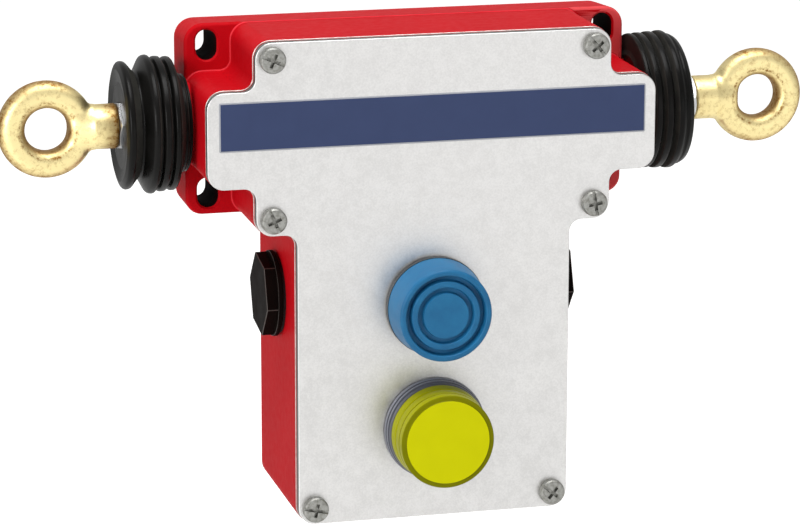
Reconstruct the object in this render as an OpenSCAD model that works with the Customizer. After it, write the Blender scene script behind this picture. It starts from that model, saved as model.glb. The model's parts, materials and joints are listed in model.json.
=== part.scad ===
// Rope pull switch with a booted reset button and a pilot light.
// A cast T-shaped housing carries a shaft that runs from eye to eye. A pull on
// either rope slides the shaft, a lever turns with it and moves the contact
// slider, and the reset button lifts a pawl that holds the tripped shaft.
// Frame: X along the ropes, Y into the wall, Z up. The origin lies on the
// mounting plane, straight behind the middle of the rope axis.

/* [Cover plate] */
// Overall width across the two arms
arm_w = 148; // [136:1:180]
// Height of the arms, centred on the rope axis
arm_h = 31.3; // [30:0.1:36]
// Width of the middle block above and below the arms
tab_w = 117.4; // [112:0.2:122]
// Height of the block above the rope axis
tab_top = 31.2; // [29:0.2:40]
// Depth of the block below the rope axis
tab_bottom = 31.5; // [29:0.1:36]
// Width of the stem that carries the button and the light
stem_w = 90.8; // [86:0.2:100]
// Distance from the rope axis down to the foot of the stem
stem_drop = 128.7; // [122:0.1:160]
// Radius of the outer corners
corner_r = 5.5; // [4:0.1:7]
// Radius of the inner corners
notch_r = 4; // [2:0.1:6]
// Thickness of the plate
cover_t = 2.5; // [1.5:0.1:4]
// Thickness of the rubber gasket under the plate
gasket_t = 1; // [0.6:0.1:2]
// Width of the gasket's frame
gasket_w = 3; // [2:0.1:3.2]

/* [Label strip] */
// Width of the bare strip on the arms
label_w = 140; // [100:1:146]
// Height of the strip
label_h = 15; // [8:0.5:18]
// Height of the strip's middle above the rope axis
label_z = 4.6; // [0:0.1:6]
// Thickness of the strip
label_t = 0.3; // [0.2:0.1:0.6]

/* [Housing] */
// Depth from the mounting plane to the face of the cover plate
body_depth = 56; // [54:0.5:64]
// How far the casting stands out past the cover plate all round
edge_step = 0.3; // [0:0.1:0.8]
// How far the flange stands out past the rest of the casting
flange_step = 0.5; // [0.2:0.1:1.5]
// Thickness of the fixing flange
flange_t = 19; // [12:0.5:24]
// Thickness of the walls and the floor
wall_t = 3.5; // [2.5:0.1:4]
// Thickness of the two end walls that hold the bushes
end_wall_t = 8; // [6:0.1:12]
// Distance from the mounting plane to the rope axis
axis_depth = 22; // [20:0.5:24]
// Depth of the pocket in the back of the stem
back_pocket_t = 1.2; // [0.5:0.1:1.8]
// Width of the rim left round that pocket
back_rim_w = 9; // [6:0.5:14]

/* [Fixing slots] */
// Width of the four upright slots
slot_w = 7; // [5:0.1:8]
// End-to-end length of a slot
slot_len = 10; // [8:0.1:11]
// Distance from the end of the arms to the slots' axes
slot_inset = 7; // [6.5:0.1:8]
// Distance between the two rows of slots
slot_pitch_z = 49; // [47:0.5:51]
// Chamfer at the mouth of a slot
slot_chamfer = 0.6; // [0.3:0.1:1]

/* [Cover screws] */
// Thread diameter
screw_d = 5; // [3:0.5:5]
// Head diameter
screw_head_d = 8.4; // [6:0.1:9]
// Head height
screw_head_h = 2.9; // [2:0.1:4]
// Distance from a screw's axis to the two edges beside it
screw_inset = 5.4; // [5:0.1:7]
// Length of thread in the casting
screw_grip = 12; // [6:0.5:16]

/* [Rope shaft] */
// Diameter of the shaft
shaft_d = 10; // [8:0.5:11]
// How far the shaft slides each way
shaft_travel = 5; // [3:0.5:5]
// Distance from the end of the arms to the middle of an eye's hole
eye_reach = 46.3; // [45.5:0.1:56]
// Outer diameter of the guide bushes
bush_d = 15; // [14:0.5:17]
// Diameter of the bushes' flanges
bush_flange_d = 19; // [18:0.5:22]
// Thickness of the bushes' flanges
bush_flange_t = 2; // [1.5:0.1:3]
// Diameter of the spigot that the bellows grip
spigot_d = 26; // [24:0.2:27]
// Length of that spigot
spigot_l = 4; // [3:0.1:5]

/* [Eye nuts] */
// Radius from the eye's centre to the middle of its ring
eye_ring_r = 11.3; // [10.5:0.1:12.5]
// Radius of the ring's section
eye_section_r = 4.5; // [4:0.1:5]
// Radius of the hole
eye_hole_r = 7; // [6.2:0.1:7.6]
// Diameter of the neck
neck_d = 14.6; // [13:0.1:16]
// Distance from the eye's centre to the end of the neck
neck_reach = 22.8; // [20:0.1:24]
// Radius of the fillets between the ring and the neck
eye_fillet_r = 2.5; // [1.5:0.5:6]
// Depth of the threaded hole in the neck
eye_thread_l = 8.5; // [6:0.5:9]
// Lock nut, across its flats
lock_nut_af = 16; // [14:0.5:18]
// Lock nut, thickness
lock_nut_h = 3.8; // [3:0.1:5]

/* [Bellows] */
// Radius of the folds
fold_r = 22.4; // [20:0.1:25]
// Depth of the narrow grooves between the folds
groove_depth = 3.2; // [2:0.1:5]
// Distance from fold to fold
fold_pitch = 3.6; // [3:0.1:4]
// Radius of the cup at the outer end
cup_r = 20.8; // [18:0.1:24]
// Radius of the collar on the spigot
collar_r = 15.6; // [15:0.1:17]
// Thickness of the rubber
rubber_t = 1.7; // [1.2:0.1:2.2]
// Length of the collar and its cone, left bellows
cone_left = 5.6; // [5:0.1:8]
// Length of the collar and its cone, right bellows
cone_right = 2.2; // [1.8:0.1:8]
// Distance from the last fold to the cup's rim, left bellows
cup_gap_left = 8; // [5:0.1:9]
// Distance from the last fold to the cup's rim, right bellows
cup_gap_right = 4.4; // [4:0.1:9]

/* [Reset button] */
// Distance of the button's axis below the rope axis
reset_drop = 57.2; // [55:0.1:59]
// Radius of the button's face
boot_r = 15.2; // [14:0.1:16]
// How much the boot widens towards its foot
boot_flare = 0.5; // [0:0.1:1]
// Height of the face above the cover plate
boot_h = 15.3; // [14:0.1:18]
// Length of the moving cap at the front of the boot
boot_cap_l = 4.6; // [3.5:0.1:6]
// Thickness of the boot's wall
boot_t = 1.4; // [1:0.1:2]
// Travel of the button
reset_travel = 4; // [2:0.5:4]

/* [Pilot light] */
// Distance of the light's axis below the rope axis
pilot_drop = 98.5; // [96:0.1:104]
// Radius of the lens
lens_r = 15.4; // [14:0.1:16]
// Height of the lens above the cover plate
pilot_h = 18.1; // [15:0.1:24]
// Length of the lens
lens_l = 12; // [9:0.1:13]
// Thickness of the lens wall
lens_t = 1.8; // [1:0.1:2.5]

/* [Panel heads] */
// Radius of the threaded sleeves behind the cover plate
sleeve_r = 11; // [10.5:0.1:12]
// Radius of the heads' base rings
bezel_r = 16.3; // [16.1:0.1:17]
// Thickness of the sealing washers under the heads
washer_t = 0.6; // [0.4:0.1:1]
// Thickness of the base rings
bezel_t = 1.8; // [1.2:0.1:2.5]
// Radius of the fixing nuts
panel_nut_r = 14.5; // [13.5:0.1:16]
// Thickness of the fixing nuts
panel_nut_h = 4; // [3:0.1:5]

/* [Cable entries] */
// Distance of the entries' axes below the rope axis
entry_drop = 57.6; // [57:0.1:70]
// Distance of the entries' axes from the mounting plane
entry_depth = 26.7; // [22:0.1:32]
// Thread diameter
entry_d = 20; // [16:1:21]
// Plug, across its flats
plug_af = 24; // [20:0.5:26]
// Height of the plug's hexagon
plug_hex_h = 3.8; // [3:0.1:6]
// Radius of the plug's flange
plug_flange_r = 14.2; // [13.2:0.1:16]
// Thickness of the plug's flange
plug_flange_t = 1.6; // [1:0.1:3]
// Turn of the plug's hexagon about its axis, in degrees
plug_turn = 10; // [0:1:30]

/* [Earth screw] */
// Distance of the earth screw below the rope axis
earth_drop = 76.5; // [70:0.5:84]
// Distance of the earth screw to the left of the middle
earth_side = 28; // [24:0.5:30]
// Height of its boss above the floor of the casting
earth_boss_h = 5; // [3:0.5:7]

/* [Mechanism] */
// Distance from the rope axis down to the lever's pivot
lever_up = 22; // [20:0.5:23]
// Distance from the pivot down to the lever's lower stud
lever_down = 16; // [15.5:0.1:17]
// Thickness of the lever
lever_t = 2.8; // [2:0.1:3]
// Radius of the spool's flanges and land
spool_r = 8; // [7.5:0.1:8.5]
// Distance from the rope axis down to the pawl's pivot
pawl_drop = 27; // [26:0.1:27.4]
// Distance from the mounting plane to the pawl's pivot
pawl_depth = 41; // [40.5:0.1:42]
// Position along the shaft of the pawl's nose
nose_x = 19.5; // [18.5:0.1:20.5]
// Width of the contact blocks
block_w = 23.5; // [20:0.5:25]
// Height of the contact blocks
block_h = 18; // [16:0.5:18.5]
// Distance from the floor of the casting to the contact blocks' faces
block_depth = 32.5; // [30:0.1:33]

/* [Hidden] */
$fn = 64;
running_gap = 0.05;
seat_gap = 0.05;
open_gap = 0.3;
over = 1;

y_face = -body_depth;
y_cover_back = y_face + cover_t;
y_rim = y_cover_back + gasket_t;
y_ear = -flange_t;
y_floor = -wall_t;
y_axis = -axis_depth;

arm_x = arm_w / 2;
tab_x = tab_w / 2;
stem_x = stem_w / 2;
arm_z = arm_h / 2;
casting_x = arm_x + edge_step;
flange_x = casting_x + flange_step;
cavity_x = casting_x - end_wall_t;
cavity_arm_z = arm_z - wall_t;
boss_w = 2 * screw_inset - 1;
cavity_tab_x = tab_x - boss_w;
cavity_stem_x = stem_x - wall_t + edge_step;
foot_z = -stem_drop;

screw_spots = [
    for (side = [-1, 1], spot = [
        [tab_x - screw_inset, tab_top - screw_inset],
        [tab_x - screw_inset, screw_inset - tab_bottom],
        [stem_x - screw_inset, foot_z + screw_inset]
    ]) [side * spot[0], spot[1]]
];
screw_turns = [24, 67, 12, 50, 81, 38];
boss_r = screw_inset - 0.6;

shaft_r = shaft_d / 2;
eye_x = arm_x + eye_reach;
neck_end_x = eye_x - neck_reach;
nut_x = neck_end_x - lock_nut_h;
bush_face_x = cavity_x - bush_flange_t;
spigot_end_x = flange_x + spigot_l;

spool_core_r = shaft_r + 0.5;
stud_r = 2.5;
groove_half = stud_r + 0.2;
spool_flange_t = 3.3;
spool_half_l = 27;
land_x0 = 11.5;
latch_groove_w = 2.6;
latch_groove_r = spool_r - 2;
clip_t = 1.2;
clip_r = shaft_r + 2.5;
clip_groove_r = shaft_r - 0.6;
seat_t = 1.8;
seat_r = 8.6;
spring_wire_r = 0.8;
spring_mean_r = shaft_r + 2.2;
spring_x0 = spool_half_l + clip_t + seat_t;

lever_back_y = y_axis - spool_r - 0.4;
lever_front_y = lever_back_y - lever_t;
lever_z = -lever_up;
lever_pin_r = 3;
lever_half_w = 4.5;
lever_hub_l = 6;
slider_z = lever_z - lever_down;
slider_h = 6;
slider_t = 4;
slider_front_y = lever_back_y + 0.9;
slider_stud_r = 2;
slider_web_t = 0.8;
slider_ratio = lever_down / lever_up;
slider_travel = shaft_travel * slider_ratio;

block_x0 = 10.5;
block_x1 = block_x0 + block_w;
block_top_z = slider_z + slider_h / 2 + 2.6;
block_front_y = y_floor - block_depth;
slider_half_l = block_x1 - slider_travel - 0.6;
block_low_z = block_top_z - block_h;
terminal_spots = [block_x0 + 6, block_x1 - 6];
terminal_z = block_low_z + 4.4;
terminal_shank_r = 1.55;

earth_y = y_floor - earth_boss_h;
earth_shank_r = 2;
earth_grip = 5;
earth_boss_r = 4;

frame_t = 2.5;
cheek_depth = 14;
cheek_toe = 7;
cheek_t = 2;
cheek_left_x = -10;
cheek_right_x = 23;
frame_top_z = lever_z + 8;
frame_low_z = block_top_z + 0.4;
pawl_y = -pawl_depth;
pawl_z = -pawl_drop;
pawl_pin_r = 2;
pawl_hub_r = 3.5;
pawl_arm_t = 3;
pawl_pad_r = 4;
pawl_arm_front_y = pawl_y + 0.8;
pawl_pad_z = -reset_drop;
frame_screw_spots = [-16, 31];
frame_screw_r = 1.45;
frame_screw_head_r = 2.8;
frame_screw_grip = 2;

y_washer = y_face - washer_t;
y_bezel = y_washer - bezel_t;
bore_r = 9.2;
plunger_r = bore_r - 0.08;
y_boot_face = y_face - boot_h;
y_cap_back = y_boot_face + boot_cap_l;
foot_r = boot_r + boot_flare;
tail_r = 3.2;
tip_r = 1;
tip_l = 2.5;
y_sleeve_end = pawl_arm_front_y - 3.3;
sleeve_web_t = 1.5;
y_web = y_sleeve_end - sleeve_web_t;
y_plunger_back = y_web - 9;
y_tail = pawl_arm_front_y - open_gap;
return_wire_r = 0.5;
return_mean_r = 5.6;

y_lens = y_face - pilot_h;
y_lens_back = y_lens + lens_l;
y_pilot_sleeve_end = y_sleeve_end;
lamp_r = 4.6;
holder_r = bore_r - 0.2;
holder_half_w = 14;
holder_half_h = 11;
holder_l = 22;
y_lamp_terminal = y_pilot_sleeve_end + holder_l - 5;
lamp_shank_l = 4;

entry_r = entry_d / 2;
entry_wall_x = stem_x + edge_step;
entry_inner_x = stem_x - 8.4;
entry_boss_r = entry_r + 3.5;
seal_t = 1;
plug_flange_x = entry_wall_x + seal_t;
plug_hex_x = plug_flange_x + plug_flange_t;

red = "crimson";
zinc = "silver";
steel = "darkgray";
black = "#1c1c1c";

// ---- Helpers ----

// Extrudes a flat shape drawn in X and Z, from y0 back to y1.
module along_y(y0, y1) {
    translate([0, y1, 0]) rotate([90, 0, 0]) linear_extrude(y1 - y0) children();
}

// Extrudes a flat shape drawn in Y and Z, from x0 to x1.
module along_x(x0, x1) {
    translate([x0, 0, 0]) rotate([90, 0, 90]) linear_extrude(x1 - x0) children();
}

// A cylinder or cone along Y.
module rod_y(x, z, y0, y1, r, r_end = undef) {
    translate([x, y0, z]) rotate([-90, 0, 0])
        cylinder(h = y1 - y0, r1 = r, r2 = is_undef(r_end) ? r : r_end);
}

// A cylinder or cone along X.
module rod_x(y, z, x0, x1, r, r_end = undef) {
    translate([x0, y, z]) rotate([0, 90, 0])
        cylinder(h = x1 - x0, r1 = r, r2 = is_undef(r_end) ? r : r_end);
}

// Turns a profile of [radius, y] points about an axis along Y.
module spin_y(z) {
    translate([0, 0, z]) rotate([-90, 0, 0]) rotate_extrude() children();
}

// Turns a profile of [radius, x] points about the rope axis.
module spin_x() {
    translate([0, y_axis, 0]) rotate([0, 90, 0]) rotate_extrude() children();
}

module on_side(side) {
    if (side < 0) mirror([1, 0, 0]) children();
    else children();
}

module round_rect(x0, x1, z0, z1, r) {
    translate([x0 + r, z0]) square([x1 - x0 - 2 * r, z1 - z0]);
    translate([x0, z0 + r]) square([x1 - x0, z1 - z0 - 2 * r]);
    for (x = [x0 + r, x1 - r], z = [z0 + r, z1 - r]) translate([x, z]) circle(r);
}

// The fillet in an inner corner at (x, z) that opens towards (dx, dz).
module inner_fillet(x, z, dx, dz, r) {
    translate([x, z]) scale_signs(dx, dz) difference() {
        translate([-0.5, -0.5]) square(r + 0.5);
        translate([r, r]) circle(r);
    }
}

module scale_signs(dx, dz) {
    mirror([dx < 0 ? 1 : 0, 0]) mirror([0, dz < 0 ? 1 : 0]) children();
}

// The T outline, grown by d on every side.
module tee(d = 0) {
    round_rect(-arm_x - d, arm_x + d, -arm_z - d, arm_z + d, corner_r + d);
    round_rect(-tab_x - d, tab_x + d, -tab_bottom - d, tab_top + d, corner_r + d);
    round_rect(-stem_x - d, stem_x + d, foot_z - d, 0, corner_r + d);
    for (side = [-1, 1]) {
        inner_fillet(side * (tab_x + d), arm_z + d, side, 1, notch_r - d);
        inner_fillet(side * (tab_x + d), -arm_z - d, side, -1, notch_r - d);
        inner_fillet(side * (stem_x + d), -tab_bottom - d, side, -1, notch_r - d);
    }
}

// The flange that the ears belong to. Only its upper part stands out past the casting.
module flange_outline() {
    d = edge_step + flange_step;
    round_rect(-arm_x - d, arm_x + d, -tab_bottom - d, tab_top + d, corner_r + d);
    round_rect(-stem_x - edge_step, stem_x + edge_step, foot_z - edge_step, 0, corner_r + edge_step);
    for (side = [-1, 1])
        inner_fillet(side * (stem_x + edge_step), -tab_bottom - d, side, -1, notch_r);
}

// The room inside the casting.
module cavity_outline() {
    r = 2;
    round_rect(-cavity_x, cavity_x, -cavity_arm_z, cavity_arm_z, r);
    round_rect(-cavity_tab_x, cavity_tab_x, wall_t - tab_bottom, tab_top - wall_t, r);
    round_rect(-cavity_stem_x, cavity_stem_x, foot_z + wall_t, 0, r);
}

// An upright slot, as a cutter from y0 to y1, with a chamfered mouth at y0.
module slot_cutter(x, z, y0, y1) {
    half = (slot_len - slot_w) / 2;
    r = slot_w / 2;
    mouth = r + slot_chamfer;
    for (s = [-1, 1]) {
        rod_y(x, z + s * half, y0 - over, y1, r);
        rod_y(x, z + s * half, y0, y0 + slot_chamfer, mouth, r);
    }
    translate([x - r, y0 - over, z - half]) cube([slot_w, y1 - y0 + over, 2 * half]);
    translate([x, 0, z - half]) linear_extrude(2 * half)
        polygon([[-mouth, y0], [mouth, y0], [r, y0 + slot_chamfer], [-r, y0 + slot_chamfer]]);
}

// A round wire wound into a coil along Z, from 0 to length, with flat-wound ends.
module coil(mean_r, wire_r, length, turns) {
    steps = 14;
    sides = 8;
    rings = steps * turns;
    rise = length - 2 * wire_r;
    z_at = function (t) t < 1 ? 0.12 * t : t > turns - 1 ? 1 - 0.12 * (turns - t)
        : 0.12 + 0.76 * (t - 1) / (turns - 2);
    points = [
        for (i = [0 : rings], k = [0 : sides - 1])
            let (t = i / steps, a = 360 * t, b = 360 * k / sides)
            [
                (mean_r + wire_r * cos(b)) * cos(a),
                (mean_r + wire_r * cos(b)) * sin(a),
                wire_r + rise * z_at(t) + wire_r * sin(b)
            ]
    ];
    walls = [
        for (i = [0 : rings - 1], k = [0 : sides - 1])
            let (n = (k + 1) % sides, a = i * sides, b = a + sides)
            [a + k, b + k, b + n, a + n]
    ];
    near_end = [[for (k = [0 : sides - 1]) k]];
    far_end = [[for (k = [sides - 1 : -1 : 0]) rings * sides + k]];
    polyhedron(points, concat(walls, near_end, far_end), convexity = 10);
}

// A hexagon across the flats af, its corners broken at the top by a 30 degree cone.
module hex_body(af, h) {
    corner = af / sqrt(3);
    flat_r = af / 2 - 0.2;
    intersection() {
        cylinder(h = h, r = corner, $fn = 6);
        rotate_extrude() polygon([
            [0, 0], [corner + over, 0], [corner + over, h - (corner + over - flat_r) * tan(30)],
            [flat_r, h], [0, h]
        ]);
    }
}

// ---- Casting and cover ----

module housing() {
    color(red) difference() {
        union() {
            along_y(y_rim, y_ear) tee(edge_step);
            along_y(y_ear, 0) flange_outline();
            for (side = [-1, 1]) on_side(side)
                rod_x(y_axis, 0, casting_x - over, spigot_end_x, spigot_d / 2);
        }
        housing_cavity();
        housing_holes();
    }
}

module housing_cavity() {
    difference() {
        along_y(y_rim - over, y_floor) cavity_outline();
        for (spot = screw_spots) rod_y(spot[0], spot[1], y_rim - 2 * over, 0, boss_r);
        for (side = [-1, 1]) on_side(side)
            rod_x(-entry_depth, -entry_drop, entry_inner_x, entry_wall_x, entry_boss_r);
        rod_y(-earth_side, -earth_drop, earth_y, 0, earth_boss_r);
    }
}

module housing_holes() {
    for (spot = screw_spots)
        rod_y(spot[0], spot[1], y_rim - over, y_rim + screw_grip + 1, screw_d / 2 + seat_gap);
    for (sx = [-1, 1], sz = [-1, 1])
        slot_cutter(sx * (arm_x - slot_inset), sz * slot_pitch_z / 2, y_ear, over);
    for (side = [-1, 1]) on_side(side) {
        rod_x(y_axis, 0, cavity_x - over, spigot_end_x + over, bush_d / 2 + 0.01);
        rod_x(-entry_depth, -entry_drop, entry_inner_x - over, entry_wall_x + over, entry_r);
    }
    for (x = frame_screw_spots)
        rod_y(x, lever_z, y_floor - over, y_floor + frame_screw_grip + 0.4, frame_screw_r + seat_gap);
    rod_y(-earth_side, -earth_drop, earth_y - over, earth_y + earth_grip + 1,
        earth_shank_r + seat_gap);
    along_y(-back_pocket_t, over) round_rect(
        back_rim_w - stem_x, stem_x - back_rim_w, foot_z + back_rim_w,
        -tab_bottom - back_rim_w, 4);
}

module cover_plate() {
    color("gainsboro") difference() {
        along_y(y_face, y_cover_back) tee();
        for (spot = screw_spots)
            rod_y(spot[0], spot[1], y_face - over, y_cover_back + over, screw_d / 2 + 0.3);
        for (z = [-reset_drop, -pilot_drop])
            rod_y(0, z, y_face - over, y_cover_back + over, sleeve_r + 0.15);
    }
}

module cover_gasket() {
    color(black) difference() {
        along_y(y_cover_back, y_rim) tee(-0.35);
        along_y(y_cover_back - over, y_rim + over) difference() {
            cavity_outline();
            for (spot = screw_spots) translate(spot) circle(boss_r);
        }
        for (spot = screw_spots)
            rod_y(spot[0], spot[1], y_cover_back - over, y_rim + over, screw_d / 2 + 0.3);
    }
}

module cover_screws() {
    color(zinc) for (i = [0 : len(screw_spots) - 1])
        translate([screw_spots[i][0], 0, screw_spots[i][1]])
            rotate([0, screw_turns[i], 0]) cover_screw();
}

// A cheese head with a cross recess and a slot, on a threaded shank.
module cover_screw() {
    head_r = screw_head_d / 2;
    top_y = y_face - screw_head_h;
    difference() {
        union() {
            spin_y(0) polygon([
                [0, top_y], [head_r - 0.9, top_y], [head_r - 0.35, top_y + 0.25],
                [head_r, top_y + 0.8], [head_r, y_face], [0, y_face]
            ]);
            rod_y(0, 0, y_face - 0.1, y_rim + screw_grip, screw_d / 2);
        }
        for (turn = [0, 90]) rotate([0, turn, 0])
            translate([-2.3, top_y - over, -0.55]) cube([4.6, over + 1.7, 1.1]);
        translate([-head_r - over, top_y - over, -0.5])
            cube([2 * head_r + 2 * over, over + 0.8, 1]);
    }
}

module label_strip() {
    color("darkslateblue") translate([-label_w / 2, y_face - label_t, label_z - label_h / 2])
        cube([label_w, label_t, label_h]);
}

// ---- Bushes, bellows and cable entries ----

module guide_bush(side) {
    color("peru") on_side(side) difference() {
        union() {
            rod_x(y_axis, 0, bush_face_x, cavity_x, bush_flange_d / 2);
            rod_x(y_axis, 0, cavity_x - 0.1, spigot_end_x, bush_d / 2);
        }
        rod_x(y_axis, 0, bush_face_x - over, spigot_end_x + over, shaft_r + running_gap);
    }
}

// Half-round folds: each one rises from a groove to its crest and falls again.
function fold(x, half, low_r, top_r) = [
    for (i = [1 : 7]) let (t = i / 8) [low_r + (top_r - low_r) * pow(sin(180 * t), 0.55), x - half + 2 * half * t]
];

module bellows(side, cone_l, cup_gap) {
    start_x = flange_x + open_gap;
    first_x = start_x + cone_l;
    groove_r = fold_r - groove_depth;
    last_x = first_x + 2 * fold_pitch;
    rim_x = last_x + cup_gap;
    hub_l = 1.6;
    neck_x = min((last_x + rim_x) / 2, nut_x - hub_l - 0.4);
    grip_r = spigot_d / 2 + seat_gap;
    inner_r = groove_r - rubber_t;
    hub_r = shaft_r + seat_gap;
    spine = [
        [collar_r, start_x], [collar_r + 0.6, start_x + 0.5], [collar_r, start_x + 1],
        [collar_r + 0.6, start_x + 1.5], [collar_r + 0.2, start_x + min(2, cone_l - 0.3)],
        for (i = [0 : 2]) each fold(first_x + i * fold_pitch, fold_pitch / 2, groove_r, fold_r),
        [inner_r, neck_x - 0.4], [inner_r, neck_x + 0.4],
        [cup_r - 1.2, rim_x - 1.1], [cup_r, rim_x], [cup_r - 0.6, rim_x + 0.8]
    ];
    hollow = [
        [cup_r - rubber_t - 1, rim_x + 0.2], [hub_r + 4, neck_x + 1], [hub_r + 2.4, neck_x + hub_l],
        [hub_r, neck_x + hub_l], [hub_r, neck_x - 0.6], [hub_r + 3, neck_x - 0.6],
        [inner_r - rubber_t, neck_x - 1.2], [inner_r, last_x], [inner_r, first_x],
        [grip_r, start_x + min(spigot_l, cone_l)], [grip_r, start_x]
    ];
    color(black) on_side(side) spin_x() polygon(concat(spine, hollow));
}

module entry_plug(side) {
    bevel = 0.5;
    color(black) on_side(side) union() {
        rod_x(-entry_depth, -entry_drop, entry_inner_x, plug_flange_x + 0.1, entry_r - seat_gap);
        rod_x(-entry_depth, -entry_drop, plug_flange_x, plug_hex_x - bevel, plug_flange_r);
        rod_x(-entry_depth, -entry_drop, plug_hex_x - bevel, plug_hex_x,
            plug_flange_r, plug_flange_r - bevel);
        translate([plug_hex_x - 0.1, -entry_depth, -entry_drop])
            rotate([plug_turn * side, 0, 0]) rotate([0, 90, 0]) hex_body(plug_af, plug_hex_h + 0.1);
    }
}

module plug_seal(side) {
    color("black") on_side(side) difference() {
        rod_x(-entry_depth, -entry_drop, entry_wall_x, plug_flange_x, plug_flange_r - 1);
        rod_x(-entry_depth, -entry_drop, entry_wall_x - over, plug_flange_x + over,
            entry_r + seat_gap);
    }
}

// ---- Shaft, spool and eyes ----

module pull_shaft() {
    end_x = neck_end_x + eye_thread_l - 0.5;
    color(zinc) difference() {
        rod_x(y_axis, 0, -end_x, end_x, shaft_r);
        for (side = [-1, 1]) on_side(side) difference() {
            rod_x(y_axis, 0, spool_half_l, spool_half_l + clip_t, shaft_r + over);
            rod_x(y_axis, 0, spool_half_l - over, spool_half_l + clip_t + over, clip_groove_r);
        }
    }
}

// The spool turns the shaft's slide into the lever's turn. The pawl rides on its
// wide land and drops into one of the two grooves when the shaft has moved.
module cam_spool() {
    flange_x1 = groove_half + spool_flange_t;
    waist_r = spool_core_r + 0.8;
    color(steel) difference() {
        union() {
            rod_x(y_axis, 0, -spool_half_l, spool_half_l, waist_r);
            for (side = [-1, 1]) on_side(side)
                rod_x(y_axis, 0, groove_half, flange_x1, spool_r);
            rod_x(y_axis, 0, land_x0, spool_half_l, spool_r);
        }
        for (s = [-1, 1]) ring_cut(nose_x + s * shaft_travel, latch_groove_w, latch_groove_r);
        ring_cut(0, 2 * groove_half, spool_core_r);
        rod_x(y_axis, 0, -spool_half_l - over, spool_half_l + over, shaft_r);
    }
}

// A square groove round the shaft's axis, of width w and floor radius r.
module ring_cut(x, w, r) {
    difference() {
        rod_x(y_axis, 0, x - w / 2, x + w / 2, spool_r + over);
        rod_x(y_axis, 0, x - w, x + w, r);
    }
}

module spool_clips() {
    color(steel) for (side = [-1, 1]) on_side(side) difference() {
        rod_x(y_axis, 0, spool_half_l, spool_half_l + clip_t, clip_r);
        rod_x(y_axis, 0, spool_half_l - over, spool_half_l + clip_t + over, clip_groove_r);
        translate([spool_half_l - over, y_axis - 1.6, 0]) cube([clip_t + 2 * over, 3.2, clip_r + over]);
    }
}

module spring_seat(side) {
    color(zinc) on_side(side) difference() {
        rod_x(y_axis, 0, spool_half_l + clip_t, spring_x0, seat_r);
        rod_x(y_axis, 0, spool_half_l, spring_x0 + over, shaft_r + running_gap);
    }
}

module centring_spring(side) {
    color(steel) on_side(side) translate([spring_x0, y_axis, 0]) rotate([0, 90, 0])
        coil(spring_mean_r, spring_wire_r, bush_face_x - spring_x0, 8);
}

module lock_nut(side) {
    color(zinc) on_side(side) difference() {
        translate([nut_x, y_axis, 0]) rotate([0, 90, 0])
            rotate(20) hex_body(lock_nut_af, lock_nut_h);
        rod_x(y_axis, 0, nut_x - over, neck_end_x + over, shaft_r + seat_gap);
    }
}

// A forged eye: a round ring, a round neck, and a web that fillets one into the other.
module eye_nut(side) {
    neck_r = neck_d / 2;
    outer_r = eye_ring_r + eye_section_r;
    web_t = 0.9 * eye_section_r;
    web_sink = 0.5;
    color("goldenrod") rotate([0, side < 0 ? 180 : 0, 0]) difference() {
        union() {
            translate([eye_x, y_axis, 0]) rotate([-90, 0, 0]) rotate_extrude()
                translate([eye_ring_r, 0]) circle(eye_section_r);
            rod_x(y_axis, 0, neck_end_x + 0.6, eye_x - eye_ring_r, neck_r);
            rod_x(y_axis, 0, neck_end_x, neck_end_x + 0.6, neck_r - 0.6, neck_r);
            along_y(y_axis - web_t, y_axis + web_t) translate([eye_x, 0])
                eye_web(outer_r - web_sink, neck_r - web_sink);
        }
        rod_y(eye_x, 0, y_axis - 2 * eye_section_r, y_axis + 2 * eye_section_r, eye_hole_r);
        rod_x(y_axis, 0, neck_end_x - over, neck_end_x + eye_thread_l, shaft_r + seat_gap);
    }
}

// The flat web seen from the front, drawn about the eye's centre: its two edges
// are arcs that leave the neck and meet the ring without a corner.
module eye_web(outer_r, neck_r) {
    arc_z = neck_r + eye_fillet_r;
    arc_x = sqrt(pow(outer_r + eye_fillet_r, 2) - pow(arc_z, 2));
    touch = outer_r / (outer_r + eye_fillet_r);
    difference() {
        polygon([
            [-arc_x, neck_r], [-arc_x * touch, arc_z * touch], [-eye_hole_r, 0],
            [-arc_x * touch, -arc_z * touch], [-arc_x, -neck_r]
        ]);
        for (s = [-1, 1]) translate([-arc_x, s * arc_z]) circle(eye_fillet_r);
    }
}

// ---- Lever, contacts and pawl ----

module switch_lever() {
    hub_r = lever_pin_r + 2.5;
    hub_back_y = lever_back_y + lever_hub_l;
    color("tan") difference() {
        union() {
            along_y(lever_front_y, lever_back_y) {
                translate([-lever_half_w, slider_z]) square([2 * lever_half_w, lever_up + lever_down]);
                for (z = [0, slider_z]) translate([0, z]) circle(lever_half_w);
                translate([0, lever_z]) circle(hub_r);
            }
            rod_y(0, lever_z, lever_front_y, hub_back_y, hub_r);
            rod_y(0, 0, lever_front_y, y_axis - spool_core_r - 0.4, stud_r);
            rod_y(0, slider_z, lever_front_y,
                slider_front_y + slider_t - slider_web_t - open_gap, slider_stud_r);
        }
        rod_y(0, lever_z, lever_front_y - over, hub_back_y + over, lever_pin_r + running_gap);
    }
}

module lever_pin() {
    head_t = 1.2;
    color(steel) union() {
        rod_y(0, lever_z, lever_front_y - open_gap, y_floor, lever_pin_r);
        rod_y(0, lever_z, lever_front_y - open_gap - head_t, lever_front_y - open_gap, lever_pin_r + 1.2);
    }
}

module contact_slider() {
    color("ivory") difference() {
        translate([-slider_half_l, slider_front_y, slider_z - slider_h / 2])
            cube([2 * slider_half_l, slider_t, slider_h]);
        translate([-slider_stud_r - 0.2, slider_front_y - over, slider_z - slider_h / 2 - over])
            cube([2 * slider_stud_r + 0.4, slider_t - slider_web_t + over, slider_h + 2 * over]);
    }
}

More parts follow.
